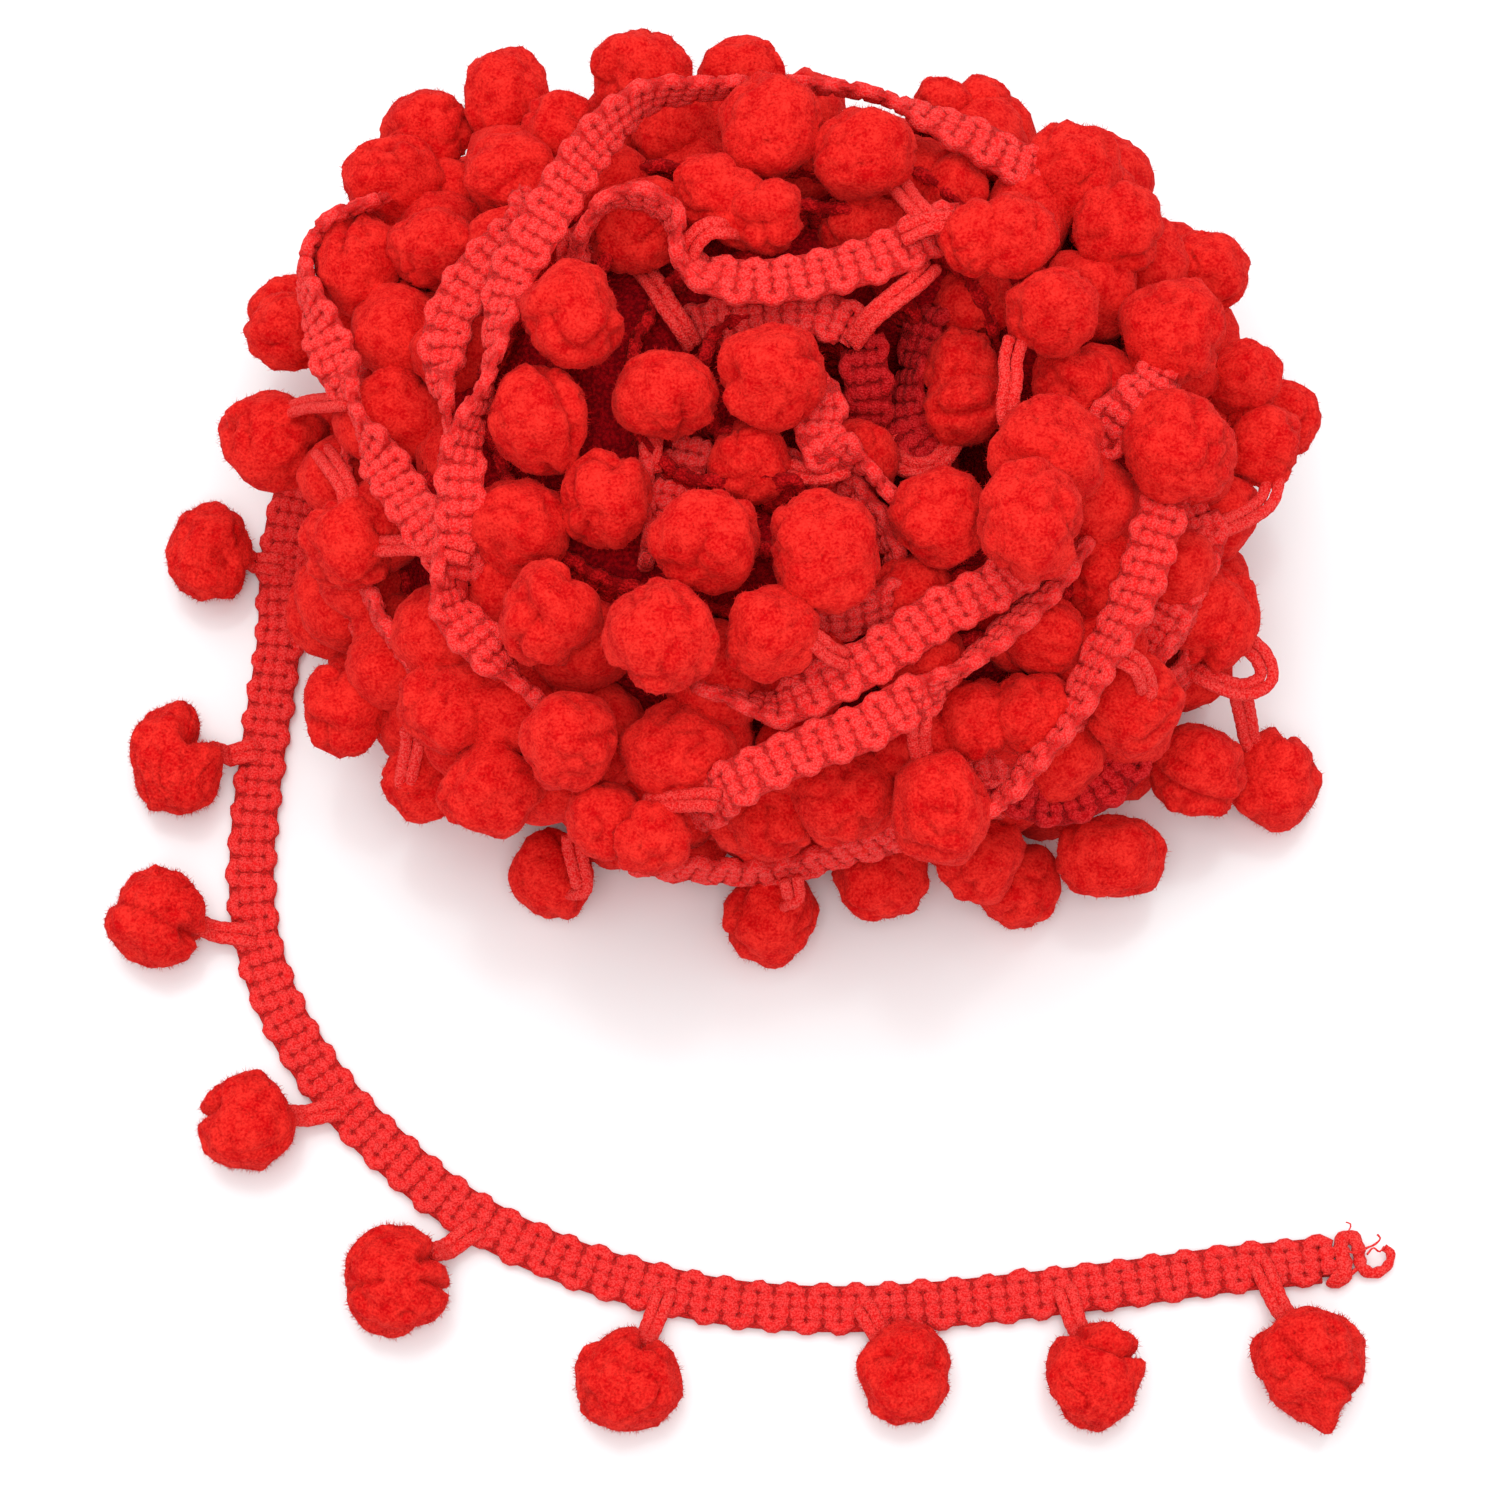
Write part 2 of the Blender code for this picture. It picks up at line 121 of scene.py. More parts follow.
world = bpy.data.worlds.new("bright_room")
world.use_nodes = True
background = world.node_tree.nodes["Background"]
background.inputs["Color"].default_value = (1, 1, 1, 1)
background.inputs["Strength"].default_value = ROOM_LIGHT
bpy.context.scene.world = world
print("lamp watts:", [row["watts"] for row in LAMPS])

# %% [markdown]
# ## Dyed yarn
#
# Felt, braid and cord are all the same dyed acrylic, and all matt.  What tells them apart is the
# grain: felt is a mat of fine short hairs with a cloudy colour, and the braid and the cords show
# the small round bumps of twisted yarn.  A picture wrapped round a ball would show a seam, so the
# grain is worked out by noise nodes at each place in space.  One helper adds a node of any kind.

# %% Nodes
def add_node(tree, kind, vector=None, **values):
    """A new shader node with the named inputs set and, if one is given, its Vector input linked."""
    node = tree.nodes.new("ShaderNode" + kind)
    for name, value in values.items():
        node.inputs[name].default_value = value
    if vector is not None:
        tree.links.new(vector, node.inputs["Vector"])
    return node


# %% [markdown]
# The bumps are a fine noise, and on twisted yarn the distance to the middle of a round cell is taken
# away from it, which leaves pebbles.  In the mesh they would need millions of faces, so they only
# bend the light.

# %% Bumps
def bump_height(tree, place, grain, pebbled):
    """The socket that gives the height of the bumps, from 0 to 1 on felt."""
    fibres = add_node(tree, "TexNoise", place, Scale=1 / (grain * MM), Detail=3)
    if not pebbled:
        return fibres.outputs["Fac"]
    pebbles = add_node(tree, "TexVoronoi", place, Scale=1 / (grain * MM))
    rounded = add_node(tree, "Math")
    rounded.operation = "SUBTRACT"
    tree.links.new(fibres.outputs["Fac"], rounded.inputs[0])
    tree.links.new(pebbles.outputs["Distance"], rounded.inputs[1])
    return rounded.outputs["Value"]


# %% [markdown]
# The dye is never even.  A cloudy noise and the bumps, half of each, move the colour between a deep
# and a bright red.  The cloudy noise gives the dye's own soft patches; the bumps add painted light on
# their tops and painted shade in the pits beside them.

# %% Patches and bump shade
FELT_BLEND = (0.40, 0.60)
PEBBLED_BLEND = (0.12, 0.40)


def red_patches_and_bump_shade(tree, place, height, deep, bright, cloud, pebbled):
    """The socket that gives the colour between two reds: dye patches and painted bump shade."""
    patches = add_node(tree, "TexNoise", place, Scale=1 / (cloud * MM), Detail=5, Roughness=0.65)
    # Half dye patches, half bump height, which paints light on the bumps and shade in the pits.
    dye_and_bump_shade_mix = add_node(tree, "Mix", Factor=0.5)
    tree.links.new(patches.outputs["Fac"], dye_and_bump_shade_mix.inputs["A"])
    tree.links.new(height, dye_and_bump_shade_mix.inputs["B"])
    reds = add_node(tree, "ValToRGB")
    blend = PEBBLED_BLEND if pebbled else FELT_BLEND
    for stop, position, red in zip(reds.color_ramp.elements, blend, (deep, bright)):
        stop.position = position
        stop.color = (*red, 1)
    tree.links.new(dye_and_bump_shade_mix.outputs["Result"], reds.inputs["Fac"])
    return reds.outputs["Color"]


# %% [markdown]
# The light never reaches the bottom of a fold or of a groove between two yarns, and it lies in shade
# there.  Lamps alone would leave it too pale, so that shade is painted.  Every mesh carries a number
# named "hollow", 0 in the open and 1 in the deepest groove, and the finish is painted darker with a
# power of it, which keeps the lines of painted shade thin.

# %% Painted groove shade
PAINTED_GROOVE_SHADE = 0.62
PAINTED_GROOVE_SHADE_POWER = 2


def red_with_painted_groove_shade(tree, open_red, deep):
    """The socket that gives the colour with painted shade in its grooves."""
    hollow = add_node(tree, "Attribute")
    hollow.attribute_name = "hollow"
    thinned = add_node(tree, "Math")
    thinned.operation = "POWER"
    thinned.inputs[1].default_value = PAINTED_GROOVE_SHADE_POWER
    tree.links.new(hollow.outputs["Fac"], thinned.inputs[0])
    grooves = add_node(tree, "Mix")
    grooves.data_type = "RGBA"
    first, second = [socket for socket in grooves.inputs if socket.type == "RGBA"]
    second.default_value = (*[channel * PAINTED_GROOVE_SHADE for channel in deep], 1)
    tree.links.new(open_red, first)
    tree.links.new(thinned.outputs["Value"], grooves.inputs["Factor"])
    return [socket for socket in grooves.outputs if socket.type == "RGBA"][0]


# %% [markdown]
# One helper puts the three together, on a matt surface whose thin sheen stands for loose hairs.

# %% Yarn
BUMP_STRENGTH = 0.8
MATT_YARN = {
    "Roughness": 0.95,
    "Specular IOR Level": 0.05,
    "Sheen Roughness": 0.45,
    "Sheen Tint": (1.0, 0.28, 0.24, 1),
}


def dyed_yarn_with_painted_shade(name, deep, bright, cloud, grain, relief, pebbled, sheen):
    """A matt red finish, with painted shade in its grooves and painted light and shade on its bumps.

    cloud and grain are the breadths in mm of the colour patches and of the bumps, and relief is
    the height of the bumps.  pebbled bumps are round, as on twisted yarn; others are felt.
    """
    material = bpy.data.materials.new(name)
    material.use_nodes = True
    tree = material.node_tree
    shader = tree.nodes["Principled BSDF"]
    place = add_node(tree, "TexCoord").outputs["Object"]
    height = bump_height(tree, place, grain, pebbled)
    patchy = red_patches_and_bump_shade(tree, place, height, deep, bright, cloud, pebbled)
    # Painted shade in the grooves, by the mesh's "hollow" number.
    tree.links.new(red_with_painted_groove_shade(tree, patchy, deep), shader.inputs["Base Color"])
    bump = add_node(tree, "Bump", Strength=BUMP_STRENGTH, Distance=relief * MM)
    tree.links.new(height, bump.inputs["Height"])
    tree.links.new(bump.outputs["Normal"], shader.inputs["Normal"])
    for socket, value in MATT_YARN.items():
        shader.inputs[socket].default_value = value
    shader.inputs["Sheen Weight"].default_value = sheen
    return material


# %% [markdown]
# ## Finishes
#
# The felt is the purest red.  Braid and cords are a little pinker.  The strands on top of the heap
# are the palest, with painted light, because light reaches them from all sides.  Three strands lie
# deep in the hollow or low at the foot and get painted shade, a deeper red, and the turns and the
# form inside the heap get darker painted shade still.  Lamps alone could give all this, but the
# painted light and shade keep the depth of the heap in any light.

# %% Finishes
felt = dyed_yarn_with_painted_shade("pompom_felt_red", deep=(0.58, 0.002, 0.004), bright=(0.87, 0.030, 0.021),
                 cloud=1.6, grain=0.26, relief=0.18, pebbled=False, sheen=0.08)
braid_yarn = dyed_yarn_with_painted_shade("braid_yarn_red", deep=(0.80, 0.014, 0.014), bright=(1.0, 0.074, 0.068),
                       cloud=0.5, grain=0.20, relief=0.2, pebbled=True, sheen=0.10)
# Painted light: the braid's finish made paler for the turns of the heap.
painted_light_turn_yarn = dyed_yarn_with_painted_shade("turn_yarn_red", deep=(0.94, 0.018, 0.018), bright=(1.0, 0.094, 0.087),
                      cloud=0.5, grain=0.20, relief=0.2, pebbled=True, sheen=0.10)
# Painted shade: a deeper red for the strands deep in the hollow or at the foot.
shaded_yarn = dyed_yarn_with_painted_shade("shaded_turn_red", deep=(0.50, 0.004, 0.007), bright=(0.78, 0.030, 0.034),
                        cloud=0.5, grain=0.20, relief=0.2, pebbled=True, sheen=0.06)
cord_yarn = dyed_yarn_with_painted_shade("loop_cord_red", deep=(0.80, 0.012, 0.012), bright=(1.0, 0.084, 0.074),
                      cloud=0.5, grain=0.20, relief=0.2, pebbled=True, sheen=0.10)
# Painted shade: a darker red for the turns inside the heap.
painted_shade_inner_yarn = dyed_yarn_with_painted_shade("inner_turn_red", deep=(0.34, 0.002, 0.004), bright=(0.72, 0.012, 0.014),
                       cloud=0.8, grain=0.26, relief=0.2, pebbled=True, sheen=0.04)
# Painted shade: a nearly black red for the form inside the heap.
shade_yarn = dyed_yarn_with_painted_shade("inner_shade_red", deep=(0.20, 0.001, 0.004), bright=(0.44, 0.003, 0.007),
                       cloud=1.5, grain=0.4, relief=0.3, pebbled=True, sheen=0.0)
print("finishes:", [material.name for material in bpy.data.materials])

# %% [markdown]
# ## Routes, tubes and pieces
#
# Everything narrow in this trim follows a route: a few given points with a smooth curve
# through them.  A Blender curve would do for a plain tube, but the braid also leans from side to side
# as it runs, so a route's fourth number is its lean, in degrees: 0 lies face up, 90 stands on its
# edge and faces right, 180 lies face down.

# %% Routes
KNOT_STEPS = 24
TINY = 1e-9


def unit(vectors):
    """The same directions with length one."""
    return vectors / np.maximum(np.linalg.norm(vectors, axis=-1, keepdims=True), TINY)


def distance_walked(rows):
    """How far along a route each of its rows is."""
    steps = np.linalg.norm(np.diff(rows[:, :3], axis=0), axis=1)
    return np.concatenate(([0], np.cumsum(steps)))


def read_along(walked, rows, stops):
    """The rows of a route read at other distances along it."""
    return np.column_stack([np.interp(stops, walked, column) for column in rows.T])


def smooth_route(rows, step):
    """Evenly spaced rows, about step apart, on the Catmull-Rom curve through the given ones."""
    knots = np.array(rows, float)
    knots = np.vstack((2 * knots[0] - knots[1], knots, 2 * knots[-1] - knots[-2]))
    dense = []
    for before, start, end, after in zip(knots, knots[1:], knots[2:], knots[3:]):
        for share in np.linspace(0, 1, KNOT_STEPS, endpoint=False):
            dense.append(0.5 * (2 * start + (end - before) * share
                                + (2 * before - 5 * start + 4 * end - after) * share * share
                                + (3 * start - before - 3 * end + after) * share ** 3))
    dense = np.array(dense + [knots[-2]])
    walked = distance_walked(dense)
    stops = np.linspace(0, walked[-1], max(2, round(walked[-1] / step)) + 1)
    return read_along(walked, dense, stops)


arch = smooth_route(((0, 0, 0), (5, 0, 5), (10, 0, 0)), 1.0)
print("an arch 10 mm wide and 5 mm high is", round(float(distance_walked(arch)[-1]), 1), "mm long")

# %% [markdown]
# Yarn and cord are tubes along a route.  A tube is a row of rings, and so are the web inside the
# braid and the inner form of the heap, so one helper gives the faces of them all and closes both
# ends.  Vertices worked out ring by ring can be thinner, flatter or rougher at any place, which a
# curve's bevel can't.

# %% Rings
def ring_faces(rings, sides, turned=False):
    """The faces of a row of rings with a cap at both ends; turned swaps inside and outside."""
    faces = []
    for start in range(0, (rings - 1) * sides, sides):
        for corner in range(sides):
            following = (corner + 1) % sides
            faces.append((start + corner, start + sides + corner,
                          start + sides + following, start + following))
    faces.append(tuple(range(sides)))
    faces.append(tuple(reversed(range((rings - 1) * sides, rings * sides))))
    if turned:
        faces = [face[:1] + face[:0:-1] for face in faces]
    return faces


print("faces of three square rings with their caps:", len(ring_faces(3, 4)))

# %% Tubes
YARN_GRAIN = 0.045


def boxy(values, power):
    """Sines or cosines pushed outwards by a power below one, so that their circle grows corners."""
    return np.sign(values) * np.abs(values) ** power


def tube(points, radii, up, sides, rng=None, flat=1.0, corners=1.0):
    """A closed tube through points.

    rng gives it a yarn's uneven skin, flat thins it along up, and corners below one make it boxy.
    """
    along = unit(np.gradient(points, axis=0))
    out = unit(np.cross(along, up))
    height = np.cross(out, along) * np.reshape(flat, (-1, 1))
    angles = 2 * math.pi * (np.arange(sides) + 0.5) / sides
    ring = (out[:, None] * boxy(np.cos(angles), corners)[None, :, None]
            + height[:, None] * boxy(np.sin(angles), corners)[None, :, None])
    if rng is not None:
        ring = ring * rng.normal(1, YARN_GRAIN, (len(points), sides, 1))
    verts = (points[:, None] + np.reshape(radii, (-1, 1, 1)) * ring).reshape(-1, 3)
    return verts, ring_faces(len(points), sides)


print("faces of a tube along the arch:", len(tube(arch, 1, (0, 1, 0), 8)[1]))

# %% [markdown]
# Many small parts make one piece.  Objects could be joined one by one, but that is slow, so their
# lists are joined first and the mesh is made once, at the origin.  What would sink into the table is
# pressed flat on it, as soft felt and yarn are.

# %% Pieces
TABLE_GAP = 0.05


def join_parts(parts):
    """One part from several: its vertices, its faces and how hollow it is at each vertex."""
    verts = []
    faces = []
    hollows = []
    start = 0
    for part_verts, part_faces, *part_hollows in parts:
        verts.append(part_verts)
        faces += [tuple(index + start for index in face) for face in part_faces]
        hollows.append(part_hollows[0] if part_hollows else np.zeros(len(part_verts)))
        start += len(part_verts)
    return np.vstack(verts), faces, np.concatenate(hollows)


def settle(verts):
    """Flatten what would sink into the table."""
    return np.column_stack((verts[:, :2], np.maximum(verts[:, 2], TABLE_GAP)))


def make_piece(name, parts, material):
    """An object at the origin from parts in millimetres, riding on the trim's one body."""
    verts, faces, hollows = join_parts(parts)
    mesh = bpy.data.meshes.new(name)
    mesh.from_pydata((settle(verts) * MM).tolist(), [], faces)
    # Each vertex's "hollow" number sets how much painted shade its finish gets.
    mesh.attributes.new("hollow", "FLOAT", "POINT").data.foreach_set("value", hollows)
    mesh.materials.append(material)
    mesh.shade_smooth()
    piece = bpy.data.objects.new(name, mesh)
    bpy.context.scene.collection.objects.link(piece)
    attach(piece, "root")
    print(name, "triangles:", sum(len(face) - 2 for face in faces))
    return piece


# %% [markdown]
# ## Ribbed braid
#
# The braid is one thick weft cord that runs to and fro across three thin warp threads.  Each
# crossing is a pass, and two passes end in one round scallop at the edge.  The warp pulls the cord
# in where it crosses, so every pass is a row of four small pillows with dark dots between them.  A
# flat texture would lose the scalloped edge, so the cord itself is modelled: a tube that is thinner
# at the warp lines.  A thin web in the middle of the braid stands for the warp and closes the dots.
# The cord gets painted shade at its sides and where the warp pulls it in, and the web is painted
# darker all over, as shade between the pillows.

# %% Braid sizes
PASS_PITCH = 1.65
WEFT_RADIUS = 0.96
WEFT_FLAT = 0.85
WEFT_CORNERS = 0.7
TURN_RADIUS = 0.62
TURN_FLAT = 1.1
PINCH = 0.30
PINCH_WIDTH = 0.22
WARP_LINES = (0, 1.25)
FINE_STOPS = (0, 0.31, 0.62, 0.94, 1.25, 1.52)
COARSE_STOPS = (0, 0.62, 1.25, 1.52)
TURN_REACH = 2.03
TURN_SHARE = 0.42
TURN_ANGLES = (-58, -20, 20, 58)
# Painted shade on the weft's sides: none where the cord stands "top" proud, full at "foot", and less
# towards the scalloped edge.
GROOVE = {"top": 0.80, "foot": 0.45}
EDGE_FADE = 0.3
EDGE_LEAST = 0.2
UNEVEN = {"sway": 0.03, "thick": 0.02, "reach": 0.02, "turn": 0.05}
# The web's "hollow" is its painted shade, the same all over.
WEB = {"half_width": 2.25, "half_thick": 0.3, "hollow": 0.8}
WEB_CORNERS = ((1, 1), (-1, 1), (-1, -1), (1, -1))
print("weft, mm thick:", round(2 * WEFT_RADIUS * WEFT_FLAT, 2), "and a pass every", PASS_PITCH)

# %% [markdown]
# The weft's way is worked out first on the flat, pass by pass, and then laid along the strand's
# route.  An Array modifier would repeat one perfect pass, but in soft yarn no two are the same, so
# each pass sways, swells and reaches out a little differently.

# %% Weft
def weft_line(length, stops, rng):
    """The weft's way along a strand: distance along, offset across, radius and flatness."""
    across_all = [-stop for stop in stops[:0:-1]] + list(stops)
    count = round(length / PASS_PITCH)
    pitch = length / count
    rows = []
    for number in range(count):
        way = 1 if number % 2 else -1
        sway = rng.normal(0, UNEVEN["sway"])
        thick = WEFT_RADIUS * rng.normal(1, UNEVEN["thick"])
        reach = rng.normal(1, UNEVEN["reach"])
        for across in across_all:
            off_line = min(abs(abs(across) - line) for line in WARP_LINES)
            pinch = PINCH * math.exp(-(off_line / PINCH_WIDTH) ** 2)
            rows.append(((number + 0.5) * pitch + sway, way * across * reach,
                         thick * (1 - pinch), WEFT_FLAT))
        for angle in TURN_ANGLES:
            turn = math.radians(angle)
            bulge = stops[-1] + (TURN_REACH - stops[-1]) * math.cos(turn)
            rows.append(((number + 1) * pitch + TURN_SHARE * pitch * math.sin(turn),
                         way * bulge * reach, TURN_RADIUS * rng.normal(1, UNEVEN["turn"]), TURN_FLAT))
    return np.array(rows[:-len(TURN_ANGLES)])


def weft_painted_shade(proud, across):
    """The weft's painted shade where it stands proud of the braid's middle, in shares of its radius.
    """
    depth = np.clip((GROOVE["top"] - proud) / (GROOVE["top"] - GROOVE["foot"]), 0, 1)
    edge = np.clip((TURN_REACH - np.abs(across)) / EDGE_FADE, EDGE_LEAST, 1)
    return depth * edge


# %% [markdown]
# A strand is the weft, as a tube with rounded corners, and inside it the web: a flat bar along the
# route, in place of warp threads, which hardly show.  The strand's lean turns both about the route.

# %% Strand
def strand_frame(route):
    """Where a strand's middle is, which way its width runs and which way its face looks."""
    centre = route[:, :3]
    along = unit(np.gradient(centre, axis=0))
    side = unit(np.cross(along, (0, 0, 1)))
    lean = np.radians(route[:, 3])[:, None]
    side = side * np.cos(lean) + np.cross(along, side) * np.sin(lean)
    return centre, side, np.cross(side, along)


def braid(rows, stops, sides, rng):
    """A strand of ribbed braid through rows of x, y, z and lean: its weft cord and its web."""
    route = smooth_route(rows, PASS_PITCH)
    centre, side, face = strand_frame(route)
    walked = distance_walked(centre)
    line = weft_line(walked[-1], stops, rng)
    across = unit(read_along(walked, side, line[:, 0]))
    up = unit(read_along(walked, face, line[:, 0]))
    middle = read_along(walked, centre, line[:, 0]) + across * line[:, 1:2]
    weft_verts, weft_faces = tube(middle, line[:, 2], up, sides, rng, line[:, 3], WEFT_CORNERS)
    offset = weft_verts.reshape(len(line), sides, 3) - middle[:, None]
    proud = np.abs(np.sum(offset * up[:, None], axis=2)) / (WEFT_RADIUS * WEFT_FLAT)
    weft = (weft_verts, weft_faces, weft_painted_shade(proud, line[:, 1:2]).ravel())
    held = (walked > PASS_PITCH / 2) & (walked < line[-1, 0])
    rings = []
    for wide, deep in WEB_CORNERS:
        ring = centre + side * wide * WEB["half_width"] + face * deep * WEB["half_thick"]
        rings.append(ring[held])
    web_verts = np.stack(rings, axis=1).reshape(-1, 3)
    web_faces = ring_faces(int(held.sum()), len(rings), turned=True)
    web = (web_verts, web_faces, np.full(len(web_verts), WEB["hollow"]))
    return [weft, web]


# %% [markdown]
# ## The loose end
#
# The loose end starts under the edge of the heap on the left, comes out after 20 mm, lies flat on the
# table and sweeps round in front to its cut end.  A straight braid could be bent by a Curve modifier,
# but the helper above already lays the weft along any route, and the heap's twisting strands need it
# too.  A loose end is a free cord.

# %% Loose end
TAIL_ROUTE = (
    (-39, 16), (-45, 13), (-49, 8), (-51.1, 2), (-51.8, -5), (-51.8, -12), (-52.6, -20),
    (-53.4, -28), (-53.8, -36), (-53.3, -43), (-51.2, -50), (-48, -56), (-43.8, -61.7),
    (-38.7, -66.8), (-33, -71.6), (-27, -75.2), (-20, -78.2), (-13, -80.3), (-6, -81.8),
    (1, -82.5), (8, -82.6), (15, -82.2), (22, -81.5), (29, -80.7), (36, -79.8), (43, -78.8),
    (49, -78.2), (55, -77.6))
BRAID_THICK = 1.6
TAIL_SIDES = 10
TAIL_SEED = 3
SHOWN_STEP = 1.0

tail_rows = [(x, y, BRAID_THICK / 2, 0) for x, y in TAIL_ROUTE]
tail_parts = braid(tail_rows, FINE_STOPS, TAIL_SIDES, np.random.default_rng(TAIL_SEED))
tail = make_piece("tail_braid_weave", tail_parts, braid_yarn)
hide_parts("tail_braid")
shown_route = smooth_route(tail_rows, SHOWN_STEP)

# %% [markdown]
# ## Felt pompoms
#
# A pompom is a tuft of felted yarn trimmed to a ball.  It is never quite round: it has soft lumps,
# and folds where two tufts meet.  Blender's sphere crowds its faces at two poles, so a cube is cut
# into even squares and pushed out to a ball instead.  Noise then moves its surface in and out, folds
# are pressed in along short lines, and many thin hairs stand out of it to give the fuzzy outline.

# %% Blank ball
def blank_ball(cuts):
    """A unit ball of square faces, as vertices and faces."""
    bpy.ops.mesh.primitive_cube_add(size=2)
    cube = bpy.context.object
    bpy.ops.object.mode_set(mode="EDIT")
    bpy.ops.mesh.select_all(action="SELECT")
    bpy.ops.mesh.subdivide(number_cuts=cuts)
    bpy.ops.transform.tosphere(value=1.0)
    bpy.ops.object.mode_set(mode="OBJECT")
    verts = unit(np.array([vert.co for vert in cube.data.vertices]))
    faces = [tuple(face.vertices) for face in cube.data.polygons]
    mesh = cube.data
    bpy.data.objects.remove(cube)
    bpy.data.meshes.remove(mesh)
    return verts, faces


# %% [markdown]
# The lumps could be sculpted, but some two hundred balls need them.  Three noises of growing
# fineness make them.  A fourth noise is near zero along winding lines, and a crease is pressed in
# there, strong in some places and absent in others, with painted shade along its bottom.

# %% Felt surface
CREASE_PAINTED_SHADE = 0.7
LUMPS = (
    {"fineness": 1.2, "height": 0.17},
    {"fineness": 2.9, "height": 0.08},
    {"fineness": 8.0, "height": 0.04},
)
TUFT_FINENESS = 1.6
CREASED = {"fineness": 1.3, "contrast": 3, "least": 0.3}
SEED_STEPS = (3.7, 1.9, 5.3)


def felt_surface(direction, seed, crease_width, crease_depth):
    """How far a unit pompom's felt stands from its middle in one direction, and its crease's painted
    shade.
    """
    shift = Vector([seed * step for step in SEED_STEPS])
    reach = 1
    for lump in LUMPS:
        reach += lump["height"] * noise.noise(direction * lump["fineness"] + shift)
    tuft = noise.noise(direction * TUFT_FINENESS - shift)
    creased = noise.noise(direction * CREASED["fineness"] + shift * 2)
    strength = min(1, max(0, creased * CREASED["contrast"] + CREASED["least"]))
    crease = strength * math.exp(-(tuft / crease_width) ** 2)
    return reach - crease_depth * crease, CREASE_PAINTED_SHADE * crease


# %% [markdown]
# Where two tufts meet there is a deeper fold.  Noise can't put one in a chosen place, so it is
# pressed in along a short line, and shade is painted on the felt towards its bottom.

# %% Folds
FOLD_PAINTED_SHADE = 0.8
FOLD_SHADE_POWER = 3
FOLD_FLOOR = -0.2
PLAIN_CREASE = (0.05, 0.07)


def press_fold(ball, hollow, fold):
    """Press a fold with painted shade into a unit ball, along the line between two points seen from
    above.
    """
    start = np.array(fold["from"])
    run = np.array(fold["to"]) - start
    plan = ball[:, :2]
    share = np.clip(((plan - start) @ run) / (run @ run), 0, 1)
    away = np.linalg.norm(plan - start - share[:, None] * run, axis=1)
    nearness = np.exp(-(away / fold["width"]) ** 2)
    if not fold.get("through"):
        nearness = nearness * (ball[:, 2] > FOLD_FLOOR)
    pressed = ball * (1 - fold["depth"] * nearness)[:, None]
    shade = FOLD_PAINTED_SHADE * nearness ** FOLD_SHADE_POWER * (fold["depth"] > 0)
    return pressed, np.maximum(hollow, shade)


def felt_ball(blank, seed, folds=(), crease=PLAIN_CREASE):
    """A unit pompom without its hairs: vertices, faces and hollows; crease is a width and a depth."""
    verts, faces = blank
    surface = np.array([felt_surface(Vector(direction), seed, *crease) for direction in verts])
    ball = verts * surface[:, :1]
    hollow = surface[:, 1]
    for fold in folds:
        ball, hollow = press_fold(ball, hollow, fold)
    return ball, faces, hollow


# %% [markdown]
# The felt's outline is fuzzy with short stray hairs.  Blender's own hair would be lost in an
# exported mesh, so each hair is a slim closed spike on three corners, a third of a turn apart.  It
# stands on a place chosen at random, more often on a large face than on a small one.

# %% Hairs
HAIR = {"radius": 0.008, "sunk": 0.02, "spread": 0.6, "shortest": 0.3}
HAIR_CORNERS = (0, 2.09, 4.19)


def hairs(ball, faces, count, length, rng):
    """Thin four-faced hairs that stand out of a ball's felt, as vertices and faces."""
    quads = ball[np.array(faces)]
    normals = np.cross(quads[:, 2] - quads[:, 0], quads[:, 3] - quads[:, 1])
    areas = np.linalg.norm(normals, axis=1)
    pick = rng.choice(len(quads), count, p=areas / areas.sum())
    along, across = rng.random((2, count, 1))
    low = quads[pick, 0] * (1 - along) + quads[pick, 1] * along
    high = quads[pick, 3] * (1 - along) + quads[pick, 2] * along
    root = low * (1 - across) + high * across
    lean = unit(unit(normals[pick]) + rng.normal(0, HAIR["spread"], (count, 3)))
    side = unit(np.cross(lean, rng.normal(0, 1, (count, 3))))
    other = np.cross(lean, side)
    reach = length * rng.uniform(HAIR["shortest"], 1.0, (count, 1))
    foot = root - lean * HAIR["sunk"]
    corners = [foot + HAIR["radius"] * (side * math.cos(angle) + other * math.sin(angle))
               for angle in HAIR_CORNERS]
    verts = np.stack(corners + [root + lean * reach], axis=1).reshape(-1, 3)
    hair_faces = []
    for first in range(0, 4 * count, 4):
        second, third, tip = first + 1, first + 2, first + 3
        hair_faces += [(first, second, tip), (second, third, tip), (third, first, tip),
                       (third, second, first)]
    return verts, hair_faces


# %% [markdown]
# ## Pompoms of the loose end
#
# These nine are seen whole, so each has its own size and folds.  A fold could be carved by hand in
# sculpt mode, but a line in a table is easier to move.  It is a line on the ball as seen from above,
# from -1 to 1 each way; one that goes through also dents the lower half, and a negative depth makes
# a tuft that sticks out.

